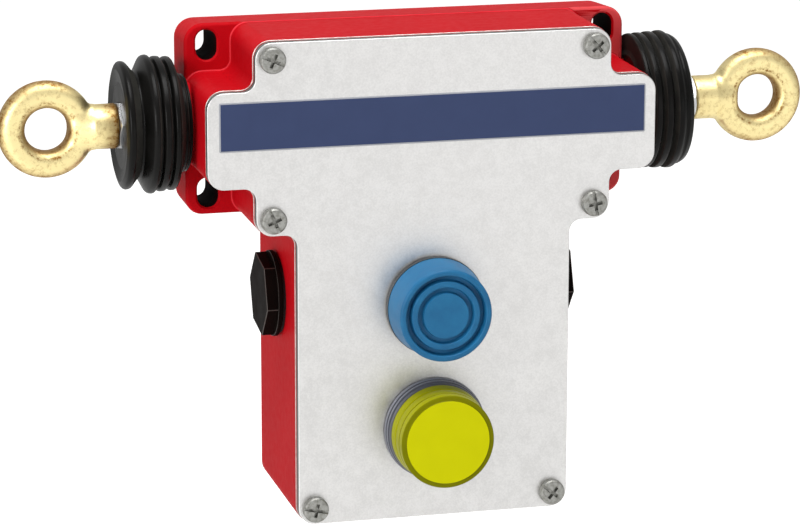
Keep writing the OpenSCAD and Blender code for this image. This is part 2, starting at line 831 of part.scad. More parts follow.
module contact_block(side) {
    color("darkslategray") on_side(side) difference() {
        translate([block_x0, block_front_y, block_low_z])
            cube([block_w, y_floor - block_front_y, block_h]);
        translate([block_x0 - over, slider_front_y - open_gap, slider_z - slider_h / 2 - open_gap])
            cube([block_w + 2 * over, slider_t + 2 * open_gap, slider_h + 2 * open_gap]);
        for (x = terminal_spots)
            rod_y(x, terminal_z, block_front_y - over, block_front_y + 5.5, terminal_shank_r + seat_gap);
        translate([block_x0 + block_w / 2 - 0.6, block_front_y - over, block_low_z - over])
            cube([1.2, over + 1.2, block_h / 2]);
    }
}

module contact_terminals() {
    color(zinc) for (side = [-1, 1], x = terminal_spots)
        translate([side * x, block_front_y, terminal_z]) terminal_screw(5);
}

// A pan-head terminal screw that enters along +Y from the origin.
module terminal_screw(shank_l) {
    difference() {
        union() {
            rod_y(0, 0, -1.5, 0, 2.4);
            rod_y(0, 0, -0.1, shank_l, terminal_shank_r);
        }
        translate([-3, -2.5, -0.4]) cube([6, 1.8, 0.8]);
    }
}

module earth_screw() {
    color("gold") translate([-earth_side, earth_y, -earth_drop]) difference() {
        union() {
            rod_y(0, 0, -3, -0.8, 3.6);
            rod_y(0, 0, -0.8, 0, 4.4);
            rod_y(0, 0, -0.9, earth_grip, earth_shank_r);
        }
        for (turn = [30, 120]) rotate([0, turn, 0])
            translate([-2.2, -4, -0.5]) cube([4.4, 2.4, 1]);
    }
}

module mechanism_frame() {
    plate_x0 = frame_screw_spots[0] - 5;
    plate_x1 = frame_screw_spots[1] + 5;
    color("lightsteelblue") difference() {
        union() {
            along_y(y_floor - frame_t, y_floor)
                round_rect(plate_x0, plate_x1, frame_low_z, frame_top_z, 2);
            for (x = [cheek_left_x - cheek_t, cheek_right_x]) along_x(x, x + cheek_t) cheek();
        }
        for (x = frame_screw_spots)
            rod_y(x, lever_z, y_floor - frame_t - over, y_floor + over, frame_screw_r + open_gap);
        rod_y(0, lever_z, y_floor - frame_t - over, y_floor + over, lever_pin_r);
        rod_x(pawl_y, pawl_z, cheek_left_x - 2 * cheek_t, cheek_right_x + 2 * cheek_t, pawl_pin_r);
    }
}

// One cheek of the frame, drawn in Y and Z.
module cheek() {
    nose_r = pawl_pin_r + 2;
    polygon([
        [y_floor - frame_t, frame_low_z], [y_floor - frame_t, frame_top_z],
        [y_floor - cheek_depth, frame_top_z], [pawl_y, pawl_z + nose_r], [pawl_y, pawl_z - nose_r],
        [pawl_y + cheek_toe, frame_low_z]
    ]);
    translate([pawl_y, pawl_z]) circle(nose_r);
    translate([y_floor - frame_t, frame_low_z]) square([0.5, frame_top_z - frame_low_z]);
}

module frame_screws() {
    color(zinc) for (x = frame_screw_spots) translate([x, y_floor - frame_t, lever_z]) difference() {
        union() {
            rod_y(0, 0, -2, 0, frame_screw_head_r);
            rod_y(0, 0, -0.1, frame_t + frame_screw_grip, frame_screw_r);
        }
        translate([-frame_screw_head_r - over, -3, -0.4])
            cube([2 * (frame_screw_head_r + over), 2, 0.8]);
    }
}

module pawl_pin() {
    color(steel) union() {
        rod_x(pawl_y, pawl_z, cheek_left_x - cheek_t - 1, cheek_right_x + cheek_t + 1, pawl_pin_r);
        rod_x(pawl_y, pawl_z, cheek_right_x + cheek_t, cheek_right_x + cheek_t + 1, pawl_pin_r + 1);
    }
}

// A bell crank on the pawl pin: the pad at its foot is pushed by the reset
// button, and the nose at its head leaves the spool.
module latch_pawl() {
    hub_x0 = cheek_left_x + 0.4;
    hub_x1 = cheek_right_x - 0.4;
    nose_y = y_axis - spool_r - open_gap;
    nose_w = 2;
    color("burlywood") difference() {
        union() {
            rod_x(pawl_y, pawl_z, hub_x0, hub_x1, pawl_hub_r);
            translate([-pawl_pad_r, pawl_arm_front_y, pawl_pad_z - pawl_pad_r])
                cube([2 * pawl_pad_r, pawl_arm_t, pawl_z - pawl_pad_z + pawl_pad_r]);
            translate([nose_x - 1.5, pawl_y - 1.5, pawl_z]) cube([3, 3, 2.5 - pawl_z]);
            translate([nose_x - nose_w / 2, pawl_y, -2]) cube([nose_w, nose_y - pawl_y, 4.5]);
        }
        rod_x(pawl_y, pawl_z, hub_x0 - over, hub_x1 + over, pawl_pin_r + running_gap);
    }
}

module pawl_spring() {
    color(steel) translate([6, pawl_y, pawl_z]) rotate([0, 90, 0])
        coil(pawl_hub_r + 0.7, 0.4, 8.5, 6);
}

// ---- Reset button ----

module panel_gasket(z) {
    color("dimgray") difference() {
        rod_y(0, z, y_washer, y_face, panel_nut_r);
        rod_y(0, z, y_washer - over, y_face + over, sleeve_r);
    }
}

module panel_nut(z) {
    color("#2b2b2b") difference() {
        rod_y(0, z, y_cover_back, y_cover_back + panel_nut_h, panel_nut_r);
        rod_y(0, z, y_cover_back - over, y_cover_back + panel_nut_h + over, sleeve_r);
        for (a = [0 : 30 : 330])
            translate([panel_nut_r * cos(a), 0, z + panel_nut_r * sin(a)])
                rod_y(0, 0, y_cover_back - over, y_cover_back + panel_nut_h + over, 1.2);
    }
}

module reset_bezel() {
    color("gray") difference() {
        union() {
            rod_y(0, -reset_drop, y_bezel, y_washer, bezel_r);
            rod_y(0, -reset_drop, y_washer, y_sleeve_end, sleeve_r);
        }
        rod_y(0, -reset_drop, y_bezel - over, y_web, bore_r);
        rod_y(0, -reset_drop, y_web - over, y_sleeve_end + over, tail_r + running_gap);
    }
}

module reset_boot_skirt() {
    color("steelblue") spin_y(-reset_drop) polygon([
        [foot_r, y_bezel], [boot_r + 0.15, y_cap_back],
        [boot_r - boot_t, y_cap_back], [foot_r - boot_t, y_bezel]
    ]);
}

// The boot's face: a rim, two grooves with a ridge between them, and a flat disc.
module reset_boot_cap() {
    rim_r = 0.87 * boot_r;
    ridge_out = 0.75 * boot_r;
    ridge_in = 0.62 * boot_r;
    disc_r = 0.49 * boot_r;
    deep = y_boot_face + 1.6;
    shallow = y_boot_face + 1;
    color("steelblue") spin_y(-reset_drop) polygon([
        [0, y_boot_face + 0.4], [disc_r, y_boot_face + 0.4], [disc_r + 0.3, shallow],
        [ridge_in - 0.3, shallow], [ridge_in, y_boot_face + 0.4], [ridge_out, y_boot_face + 0.4],
        [ridge_out + 0.3, deep], [rim_r - 0.3, deep], [rim_r, y_boot_face],
        [boot_r - 0.6, y_boot_face], [boot_r, y_boot_face + 0.6],
        [boot_r + 0.15, y_cap_back], [boot_r - boot_t, y_cap_back],
        [boot_r - boot_t, deep + boot_t], [0, deep + boot_t]
    ]);
}

module reset_plunger() {
    color("dimgray") union() {
        rod_y(0, -reset_drop, y_boot_face + 1.6 + boot_t, y_plunger_back, plunger_r);
        rod_y(0, -reset_drop, y_plunger_back - 0.1, y_tail - tip_l, tail_r);
        rod_y(0, -reset_drop, y_tail - tip_l, y_tail, tail_r, tip_r);
    }
}

module reset_spring() {
    color(steel) translate([0, y_plunger_back, -reset_drop]) rotate([-90, 0, 0])
        coil(return_mean_r, return_wire_r, y_web - y_plunger_back, 5);
}

// ---- Pilot light ----

// The barrel has three ribs in front of the cover plate and a sleeve behind it.
module pilot_barrel() {
    barrel_l = y_washer - y_lens_back;
    rib = barrel_l / 5;
    color("#303236") difference() {
        union() {
            rod_y(0, -pilot_drop, y_lens_back, y_washer, bezel_r - 0.9);
            for (i = [0, 2, 4])
                rod_y(0, -pilot_drop, y_lens_back + i * rib, y_lens_back + (i + 1) * rib,
                    i == 4 ? bezel_r : bezel_r - 0.3);
            rod_y(0, -pilot_drop, y_washer - 0.1, y_pilot_sleeve_end, sleeve_r);
        }
        rod_y(0, -pilot_drop, y_lens_back - over, y_pilot_sleeve_end + over, bore_r);
    }
}

module pilot_lens() {
    front = 2;
    step = 0.35;
    mid_y = y_lens + 0.45 * lens_l;
    color("yellow") spin_y(-pilot_drop) polygon([
        [0, y_lens], [lens_r - 1.5, y_lens], [lens_r - 0.6, y_lens + 0.5], [lens_r, y_lens + 1.4],
        [lens_r, mid_y], [lens_r - step, mid_y + 0.4], [lens_r, mid_y + 0.8],
        [lens_r, y_lens_back], [lens_r - lens_t, y_lens_back],
        [lens_r - lens_t, y_lens + front], [0, y_lens + front]
    ]);
}

// A bayonet lamp: glass envelope, metal cap and centre contact.
module pilot_lamp() {
    cap_y0 = y_face - 2;
    cap_y1 = y_pilot_sleeve_end - 3;
    color("white") union() {
        rod_y(0, -pilot_drop, cap_y0 - 6, cap_y0, lamp_r);
        translate([0, cap_y0 - 6, -pilot_drop]) sphere(lamp_r);
        rod_y(0, -pilot_drop, cap_y0 - 0.1, cap_y1, lamp_r - 0.4);
    }
}

module lamp_holder() {
    color("darkslategray") difference() {
        union() {
            rod_y(0, -pilot_drop, y_face + 2, y_pilot_sleeve_end + 0.1, holder_r);
            translate([-holder_half_w, y_pilot_sleeve_end, -pilot_drop - holder_half_h])
                cube([2 * holder_half_w, holder_l, 2 * holder_half_h]);
        }
        rod_y(0, -pilot_drop, y_face, y_pilot_sleeve_end - 3, lamp_r - 0.4 + seat_gap);
        for (s = [-1, 1])
            rod_x(y_lamp_terminal, -pilot_drop, s * holder_half_w - lamp_shank_l - 0.5,
                s * holder_half_w + lamp_shank_l + 0.5, terminal_shank_r + seat_gap);
    }
}

module lamp_terminals() {
    color(zinc) for (side = [-1, 1])
        translate([side * holder_half_w, y_lamp_terminal, -pilot_drop])
            rotate([0, 0, side * 90]) terminal_screw(lamp_shank_l);
}

housing();
cover_plate();
cover_gasket();
cover_screws();
label_strip();
guide_bush(-1);  // guide_bush_left
guide_bush(1);  // guide_bush_right
bellows(-1, cone_left, cup_gap_left);  // bellows_left
bellows(1, cone_right, cup_gap_right);  // bellows_right
entry_plug(-1);  // entry_plug_left
entry_plug(1);  // entry_plug_right
plug_seal(-1);  // plug_seal_left
plug_seal(1);  // plug_seal_right
mechanism_frame();
frame_screws();
lever_pin();
pawl_pin();
contact_block(-1);  // contact_block_left
contact_block(1);  // contact_block_right
contact_terminals();
earth_screw();
panel_gasket(-reset_drop);  // reset_gasket
reset_bezel();
panel_nut(-reset_drop);  // reset_nut
reset_boot_skirt();
reset_boot_cap();
reset_plunger();
reset_spring();
panel_gasket(-pilot_drop);  // pilot_gasket
pilot_barrel();
panel_nut(-pilot_drop);  // pilot_nut
pilot_lens();
pilot_lamp();
lamp_holder();
lamp_terminals();
pull_shaft();
cam_spool();
spool_clips();
spring_seat(-1);  // spring_seat_left
spring_seat(1);  // spring_seat_right
centring_spring(-1);  // centring_spring_left
centring_spring(1);  // centring_spring_right
lock_nut(-1);  // lock_nut_left
lock_nut(1);  // lock_nut_right
eye_nut(-1);  // eye_nut_left
eye_nut(1);  // eye_nut_right
switch_lever();
contact_slider();
latch_pawl();
pawl_spring();
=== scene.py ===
# %% [markdown]
# # Dressing a rope pull switch
#
# A rope pull switch hangs on a machine or along a conveyor. A rope is tied to each of its
# two eyes, and a pull on either rope stops the machine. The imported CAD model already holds
# every piece at its real size. This lesson gives each piece the surface of the real one:
# enamelled casting, satin aluminium, moulded rubber, yellow zinc and tinted plastic.
#
# Everything is in metres, in the CAD frame: X runs along the ropes, Y points into the wall
# and Z points up. The origin lies on the mounting plane, behind the middle of the rope axis.
# The sizes of the pieces are written in millimetres, and MM turns them into metres.

import json
from math import cos, pi, radians, sin, sqrt

import bmesh
import bpy
import numpy as np
from mathutils import Matrix, Vector

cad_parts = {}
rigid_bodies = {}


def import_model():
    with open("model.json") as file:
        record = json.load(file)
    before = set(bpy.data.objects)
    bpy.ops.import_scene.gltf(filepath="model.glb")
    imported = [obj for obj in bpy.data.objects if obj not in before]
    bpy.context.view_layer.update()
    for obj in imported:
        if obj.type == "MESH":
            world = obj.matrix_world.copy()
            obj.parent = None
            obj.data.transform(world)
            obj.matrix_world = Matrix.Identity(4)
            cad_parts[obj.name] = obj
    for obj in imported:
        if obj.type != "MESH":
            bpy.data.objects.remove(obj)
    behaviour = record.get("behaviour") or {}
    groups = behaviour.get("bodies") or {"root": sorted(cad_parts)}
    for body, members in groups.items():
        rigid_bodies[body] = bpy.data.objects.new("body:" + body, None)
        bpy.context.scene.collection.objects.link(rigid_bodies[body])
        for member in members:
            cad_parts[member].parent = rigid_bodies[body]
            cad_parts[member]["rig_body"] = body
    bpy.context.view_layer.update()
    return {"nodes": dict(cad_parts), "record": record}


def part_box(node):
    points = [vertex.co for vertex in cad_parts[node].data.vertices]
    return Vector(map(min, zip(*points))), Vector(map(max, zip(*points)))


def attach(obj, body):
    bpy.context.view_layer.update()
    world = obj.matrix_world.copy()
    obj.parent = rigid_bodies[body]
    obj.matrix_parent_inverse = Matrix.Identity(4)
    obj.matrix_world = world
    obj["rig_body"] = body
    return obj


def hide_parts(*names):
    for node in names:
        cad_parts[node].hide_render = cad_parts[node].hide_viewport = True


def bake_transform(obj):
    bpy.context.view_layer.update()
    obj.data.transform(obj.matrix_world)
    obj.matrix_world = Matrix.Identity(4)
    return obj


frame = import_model()
MM = 0.001

# %% [markdown]
# ## Where the camera stands
#
# A long lens keeps the plate's edges nearly parallel. The camera stands a little over a metre
# away, to the left of the switch and above it, so it sees the left sides and the top faces.

# %% Camera
CAMERA_PLACE = Vector((-0.28897, -1.14477, 0.23609))
CAMERA_YAW = radians(14.2935)
CAMERA_PITCH = radians(13.9222)
CAMERA_ROLL = radians(0.0949)
CAMERA_LENS = 161.65

forward = Vector((
    sin(CAMERA_YAW) * cos(CAMERA_PITCH),
    cos(CAMERA_YAW) * cos(CAMERA_PITCH),
    -sin(CAMERA_PITCH),
))
level_right = Vector((cos(CAMERA_YAW), -sin(CAMERA_YAW), 0))
level_up = level_right.cross(forward)
right = level_right * cos(CAMERA_ROLL) + level_up * sin(CAMERA_ROLL)
up = level_up * cos(CAMERA_ROLL) - level_right * sin(CAMERA_ROLL)

camera_data = bpy.data.cameras.new("camera")
camera_data.lens = CAMERA_LENS
camera_data.sensor_width = 36
camera = bpy.data.objects.new("camera", camera_data)
facing = Matrix((right, up, -forward)).transposed().to_4x4()
camera.matrix_world = Matrix.Translation(CAMERA_PLACE) @ facing
bpy.context.collection.objects.link(camera)
bpy.context.scene.camera = camera
print("camera looks along", [round(v, 3) for v in forward])

# %% [markdown]
# ## Colours and nodes
#
# Colours are written as sRGB hex values, as a paint chart or a screen shows them. Blender's
# shaders work on linear light, so one function turns the first into the second.
#
# Every material below is a small tree of nodes. One helper adds a node, sets its properties
# and fills its inputs, either with a number or with a link from another node. Four more are
# built on it, for what every surface needs: clouds of noise, a ramp, a sum or product, and a
# mix of two colours. The last two start a material and link its finish, since all materials
# begin and end alike. What is the same all over a surface is a plain number on the shader.

# %% Helpers for materials
PER_MM = 1 / MM


def linear(hex_colour):
    """The linear RGBA of an sRGB colour such as '#c8101c'."""
    channels = [int(hex_colour[i:i + 2], 16) / 255 for i in (1, 3, 5)]
    return [c / 12.92 if c <= 0.04045 else ((c + 0.055) / 1.055) ** 2.4 for c in channels] + [1]


def add_node(tree, kind, output, inputs, **settings):
    """Adds a shader node, sets its properties, fills its inputs with values or links,
    and returns the output that the next node takes."""
    node = tree.nodes.new("ShaderNode" + kind)
    for key, value in settings.items():
        setattr(node, key, value)
    for key, value in inputs.items():
        if isinstance(value, bpy.types.NodeSocket):
            tree.links.new(value, node.inputs[key])
        else:
            node.inputs[key].default_value = value
    return node.outputs[output]


def noise(tree, place, size_mm, detail, roughness=0.5):
    """A cloudy number between 0 and 1, whose clouds are about as wide as asked."""
    return add_node(tree, "TexNoise", "Fac", {
        "Vector": place, "Scale": PER_MM / size_mm, "Detail": detail, "Roughness": roughness})


def ramp(tree, value, over=(0.0, 1.0), to=(0.0, 1.0)):
    """The number that runs straight between two results while the value crosses a range."""
    return add_node(tree, "MapRange", 0, {
        0: value, 1: over[0], 2: over[1], 3: to[0], 4: to[1]})


def combine(tree, operation, one, other, **settings):
    """One number from two, such as their product or the larger of them."""
    return add_node(tree, "Math", 0, {0: one, 1: other}, operation=operation, **settings)


def mix_colours(tree, share, one, other):
    """A colour between two sRGB hex colours: the share is how much there is of the other."""
    return add_node(tree, "Mix", 2, {0: share, 6: linear(one), 7: linear(other)},
                    data_type="RGBA")


def start_material(name, **numbers):
    """A material, its tree, its shader with its plain numbers, and the place on the piece."""
    material = bpy.data.materials.new(name)
    material.use_nodes = True
    tree = material.node_tree
    tree.nodes.clear()
    shader = tree.nodes.new("ShaderNodeBsdfPrincipled")
    output = tree.nodes.new("ShaderNodeOutputMaterial")
    tree.links.new(shader.outputs[0], output.inputs[0])
    for key, value in numbers.items():
        shader.inputs[key.replace("_", " ")].default_value = value
    place = add_node(tree, "TexCoord", "Object", {})
    return material, tree, shader, place


def link_finish(tree, shader, colour, roughness, height, depth_mm):
    """Links a finish's colour, its roughness and the height of its surface to the shader."""
    tree.links.new(colour, shader.inputs["Base Color"])
    tree.links.new(roughness, shader.inputs["Roughness"])
    bump = add_node(tree, "Bump", 0, {"Height": height, "Distance": depth_mm * MM})
    tree.links.new(bump, shader.inputs["Normal"])


print("helpers ready: linear('#808080') =", round(linear("#808080")[0], 3))

# %% [markdown]
# ## Enamel on cast aluminium
#
# The housing is a die casting under baked red enamel. The enamel hides the grain of the
# casting but keeps a faint orange peel, a few millimetres from crest to crest. It could be
# made with a strong clear coat, but on this part the enamel has lost most of its gloss, so a
# broad and weak highlight is nearer: half roughness and a low specular level. The function
# takes its two reds, where the enamel lies thin and where it lies thick, and is used again
# below for a painted highlight in the crease and a painted sheen on the ears at one end.

# %% Red enamel
def red_enamel(name, thin, thick):
    material, tree, shader, place = start_material(name, IOR=1.5, Specular_IOR_Level=0.035)
    cloud = noise(tree, place, 22, 3)
    peel = noise(tree, place, 2.4, 2)
    colour = mix_colours(tree, cloud, thin, thick)
    roughness = ramp(tree, peel, (0.3, 0.7), (0.46, 0.54))
    link_finish(tree, shader, colour, roughness, peel, 0.03)
    return material


finishes = {"red_enamel": red_enamel("red_baked_enamel", "#b30914", "#c00d19")}
print("enamel:", finishes["red_enamel"].name)

# %% [markdown]
# ## Satin aluminium
#
# The cover is rolled sheet, etched and clear anodised, so it looks almost white and has no
# direction. Two noises make it: a grain of half a millimetre, coarser than the real one so
# that it can be seen, and soft clouds of a few millimetres where the etch took unevenly.

# %% Satin aluminium
def satin_aluminium():
    material, tree, shader, place = start_material("satin_anodised_aluminium", Metallic=1.0)
    grain = noise(tree, place, 0.6, 5, 0.6)
    cloud = noise(tree, place, 4.5, 6, 0.65)
    both = combine(tree, "ADD", grain, cloud)
    share = ramp(tree, both, (0.8, 1.2))
    colour = mix_colours(tree, share, "#c9c8c7", "#d7d6d5")
    roughness = ramp(tree, cloud, (0.35, 0.65), (0.36, 0.46))
    link_finish(tree, shader, colour, roughness, grain, 0.012)
    return material


finishes["plate_aluminium"] = satin_aluminium()
print("cover:", finishes["plate_aluminium"].name)

# %% [markdown]
# The punched edge of the sheet isn't etched as the face is. It is a torn grey band, and it
# is painted darker still as the shade of the gap behind the cover, so it gets a darker and
# rougher metal.

# %% Sheared edge and painted gap shade
def sheared_edge_and_gap_shade():
    material, tree, shader, place = start_material("sheared_edge_painted_gap_shade", Metallic=0.8)
    tear = noise(tree, place, 0.5, 3)
    colour = mix_colours(tree, tear, "#565b57", "#8c908c")
    roughness = ramp(tree, tear, to=(0.45, 0.6))
    link_finish(tree, shader, colour, roughness, tear, 0.03)
    return material


edge_and_gap_shade = sheared_edge_and_gap_shade()
print("edge of the cover:", edge_and_gap_shade.name)

# %% [markdown]
# ## Rubber and silicone
#
# The bellows are black nitrile rubber from a polished mould: a broad soft highlight, with a
# faint grey bloom where wax has come to the surface. The clouds of bloom are about a
# centimetre wide. The fine skin is drawn at 0.7 mm, coarser than the real one, so that it can
# be seen. The button's boot is blue silicone, smoother and a little translucent, so its shader
# lets light travel a millimetre inside.

# %% Rubber and silicone
def moulded_rubber(name, dark, pale, bloom_mm, smooth, matt, gloss=0.3):
    material, tree, shader, place = start_material(name, IOR=1.5, Specular_IOR_Level=gloss)
    bloom = noise(tree, place, bloom_mm, 5, 0.6)
    skin = noise(tree, place, 0.7, 3)
    share = ramp(tree, bloom, (0.35, 0.75))
    colour = mix_colours(tree, share, dark, pale)
    roughness = ramp(tree, bloom, (0.3, 0.7), (smooth, matt))
    link_finish(tree, shader, colour, roughness, skin, 0.012)
    return material


def blue_silicone():
    material = moulded_rubber("blue_silicone", "#19608c", "#22709d", 9, 0.4, 0.5, 0.25)
    shader = material.node_tree.nodes["Principled BSDF"]
    shader.inputs["Subsurface Weight"].default_value = 0.12
    shader.inputs["Subsurface Radius"].default_value = (0.4, 0.8, 1.0)
    shader.inputs["Subsurface Scale"].default_value = 1 * MM
    return material


finishes.update({
    # Polished mould: black, with narrow soft highlights along the folds.
    "bellows_rubber": moulded_rubber("black_nitrile", "#070706", "#151413", 12, 0.25, 0.34, 0.1),
    # Cut from sheet: black and dull.
    "seal_rubber": moulded_rubber("black_seal_rubber", "#101010", "#1c1c1c", 4, 0.6, 0.7),
    "boot_silicone": blue_silicone(),
})
print("rubbers:", finishes["bellows_rubber"].name, "and", finishes["boot_silicone"].name)

# %% [markdown]
# ## Moulded plastics
#
# The plugs, the lamp barrel and the contact blocks are glass-filled nylon. Up close such a
# moulding has a fine leathery skin, and its gloss changes slowly from place to place. Natural
# nylon and the grey bezel are the same plastic in other colours. The printed film of the
# strip has the same slow change of gloss, so it is made here too, with a wider grain.

# %% Moulded plastics
def moulded_plastic(name, dark, pale, smooth, matt, grain_mm=0.5, gloss=0.35):
    material, tree, shader, place = start_material(name, IOR=1.5, Specular_IOR_Level=gloss)
    flow = noise(tree, place, 7, 4)
    grain = noise(tree, place, grain_mm, 2)
    colour = mix_colours(tree, flow, dark, pale)
    roughness = ramp(tree, flow, (0.3, 0.7), (smooth, matt))
    link_finish(tree, shader, colour, roughness, grain, 0.01)
    return material


finishes.update({
    # Printed polyester film: even deep blue with a weak, silky highlight.
    "label_blue": moulded_plastic(
        "printed_blue_film", "#374263", "#3c476a", 0.36, 0.42, 1.5, 0.12),
    # Glass-filled nylon, coloured black: brownish black with hardly any shine.
    "plug_plastic": moulded_plastic(
        "black_plug_nylon", "#0b0807", "#17100e", 0.4, 0.5, gloss=0.012),
    "contact_black": moulded_plastic("black_contact_block", "#17181a", "#202124", 0.4, 0.5),
    # The same nylon without colour: ivory, or tan where it holds more glass.
    "slider_nylon": moulded_plastic("natural_nylon", "#d8d2be", "#e4dfcf", 0.45, 0.55),
    "lever_nylon": moulded_plastic("glass_filled_nylon", "#ab9874", "#bda987", 0.5, 0.6),
    # Polycarbonate heads: smoother, so the highlight is tighter.
    # The bezel is near black, so that it reads as the shade round the boot: painted shade.
    "bezel_grey": moulded_plastic("dark_bezel_painted_shade", "#2b2d30", "#393c3f", 0.3, 0.4),
    "head_black": moulded_plastic("dark_grey_barrel", "#474951", "#575962", 0.34, 0.44, gloss=0.3),
})
print("finishes so far:", len(finishes))

# %% [markdown]
# ## Steel, zinc and bronze
#
# Turned, drawn and plated metals differ in colour, in how far apart their tool marks or
# crystals lie, and in how much dirt they hold. One function takes those three, because a
# clean shaft and a handled screw come from the same steel.

# %% Worked metals
def worked_metal(name, clean, stained, grain_mm, stain_mm, smooth, matt, depth_mm=0.01):
    material, tree, shader, place = start_material(name, Metallic=1.0)
    grain = noise(tree, place, grain_mm, 4, 0.6)
    stain = noise(tree, place, stain_mm, 6, 0.65)
    share = ramp(tree, stain, (0.42, 0.68))
    colour = mix_colours(tree, share, clean, stained)
    roughness = ramp(tree, stain, (0.35, 0.65), (smooth, matt))
    link_finish(tree, shader, colour, roughness, grain, depth_mm)
    return material


finishes.update({
    # Zinc plated and handled: grey, with darker finger stains.
    "screw_zinc": worked_metal("grey_zinc_screw", "#9d9d99", "#7b7a74", 0.3, 1.4, 0.42, 0.6, 0.03),
    # Pressed powder full of oil: brown and half matt.
    "bronze": worked_metal("sintered_bronze", "#a9763f", "#7c5227", 0.25, 3, 0.42, 0.55, 0.02),
    # Cold rolled: smooth and blue-grey.
    "mechanism_steel": worked_metal("bright_rolled_steel", "#a7a9ac", "#85868a", 0.4, 6, 0.3, 0.42),
    # Drawn wire: darker, with fine draw marks.
    "spring_steel": worked_metal("spring_wire", "#7c7c7f", "#56565a", 0.2, 2, 0.3, 0.4),
    # Fresh zinc on a ground shaft: the brightest of them.
    "shaft_zinc": worked_metal("bright_zinc", "#c4c5c6", "#97989a", 0.3, 5, 0.24, 0.36),
    # Turned: warm yellow, dulled here and there.
    "earth_brass": worked_metal("turned_brass", "#d0ac5c", "#a4803c", 0.3, 3, 0.25, 0.4),
})
print("finishes so far:", len(finishes))

# %% [markdown]
# ## Yellow zinc on a forging
#
# Zinc plate with a yellow chromate is pale gold. On a forging it lies over a faintly rough
# skin, drawn at 0.6 mm so that it shows, and it wears brown where dirt and oil collect at
# the end of the neck, beside the rubber. The edge of the hole gets a painted shade, and the
# outside of the ring a painted reflection of dark surroundings, in the same brown. The brown
# could be painted on, but the shape of the eye says where it lies, so each part is a ramp
# over the distance from the middle of the nearer eye, broken up by one noise.

# %% Stains and painted shade of the eye
EYE_CENTRE = Vector((0.1203, -0.022, 0))


def eye_stains_and_shade(tree, place, wear):
    """How brown the zinc is, from 0 to 1, by the distance from the middle of the nearer eye:
    stains at the end of the neck and in worn spots, painted shade round the hole, and a painted
    reflection on the outside of the ring.
    """
    either_side = add_node(tree, "VectorMath", 0, {0: place}, operation="ABSOLUTE")
    offset = add_node(tree, "VectorMath", 0, {0: either_side, 1: EYE_CENTRE}, operation="SUBTRACT")
    flat = add_node(tree, "VectorMath", 0, {0: offset, 1: (1, 0, 1)}, operation="MULTIPLY")
    radius = add_node(tree, "VectorMath", "Value", {0: flat}, operation="LENGTH")

    # Painted shade in the crease round the hole, and a thin darker ring 9.3 mm from the middle,
    # kept mostly where the wear noise is high.
    hole_edge_shade = ramp(tree, radius, (7.2 * MM, 8.8 * MM), (0.8, 0.0))
    from_ring_line = combine(tree, "SUBTRACT", radius, 9.3 * MM)
    from_ring_line = add_node(tree, "Math", 0, {0: from_ring_line}, operation="ABSOLUTE")
    ring_line = ramp(tree, from_ring_line, (0.1 * MM, 0.8 * MM), (1.0, 0.0))
    ring_line_kept = ramp(tree, wear, (0.46, 0.62), (0.1, 0.8))
    ring_line = combine(tree, "MULTIPLY", ring_line, ring_line_kept)
    hole_edge_shade = combine(tree, "MAXIMUM", hole_edge_shade, ring_line)

    # The end of the neck beside the rubber. The eye at negative X is the oilier one.
    neck_end = ramp(tree, radius, (17.5 * MM, 22.4 * MM), (0.0, 1.7))
    neck_end = combine(tree, "MULTIPLY", neck_end, wear)
    apart = add_node(tree, "SeparateXYZ", "X", {0: place})
    oily_side = ramp(tree, apart, (-0.09, 0.09), (1.0, 0.2))
    neck_end = combine(tree, "MULTIPLY", neck_end, oily_side)
    dirt_and_shade = combine(tree, "MAXIMUM", hole_edge_shade, neck_end)

    # A painted reflection on the outside of the ring, but not on the neck, which lies as far from
    # the middle.
    outer = ramp(tree, radius, (13.2 * MM, 15.8 * MM), (0.0, 1.5))
    toward_eye = add_node(tree, "SeparateXYZ", "X", {0: flat})
    on_ring = ramp(tree, toward_eye, (-12 * MM, -5 * MM))
    outer = combine(tree, "MULTIPLY", outer, on_ring)
    outer = combine(tree, "MULTIPLY", outer, wear)
    dirt_and_shade = combine(tree, "MAXIMUM", dirt_and_shade, outer)

    # Small worn spots anywhere.
    worn = ramp(tree, wear, (0.5, 0.75), (0.0, 0.6))
    return combine(tree, "ADD", dirt_and_shade, worn, use_clamp=True)


print("stains are measured from", [round(v, 4) for v in EYE_CENTRE], "m and its mirror image")

# %% Yellow zinc
def yellow_zinc():
    material, tree, shader, place = start_material("yellow_zinc_forging", Metallic=1.0)
    skin = noise(tree, place, 0.6, 4, 0.6)
    wear = noise(tree, place, 1.6, 6, 0.75)
    # The brown is partly stains and partly painted shade and painted reflection.
    share = eye_stains_and_shade(tree, place, wear)
    colour = mix_colours(tree, share, "#eedda3", "#8e642c")
    roughness = ramp(tree, share, to=(0.4, 0.6))
    link_finish(tree, shader, colour, roughness, skin, 0.04)
    return material


finishes["eye_yellow_zinc"] = yellow_zinc()
print("eyes:", finishes["eye_yellow_zinc"].name)

# %% [markdown]
# ## Tinted lens and lamp glass
#
# The pilot light's lens is tinted polycarbonate over a diffuser. Its flat face shows the
# diffuser and is bright. Its rim is clear plastic seen edge on, so it is darker. The shade
# could come from real refraction, but the diffuser makes the lens all but opaque, so three
# opaque shades of one yellow are steadier. The lamp inside has a bulb of clear glass.

# %% Lens and glass
def tinted_polycarbonate(name, deep, bright, smooth):
    material, tree, shader, place = start_material(name, IOR=1.58, Specular_IOR_Level=0.04)
    flow = noise(tree, place, 8, 3)
    skin = noise(tree, place, 1.2, 1)
    colour = mix_colours(tree, flow, deep, bright)
    roughness = ramp(tree, flow, to=(smooth, smooth + 0.08))
    link_finish(tree, shader, colour, roughness, skin, 0.004)
    return material


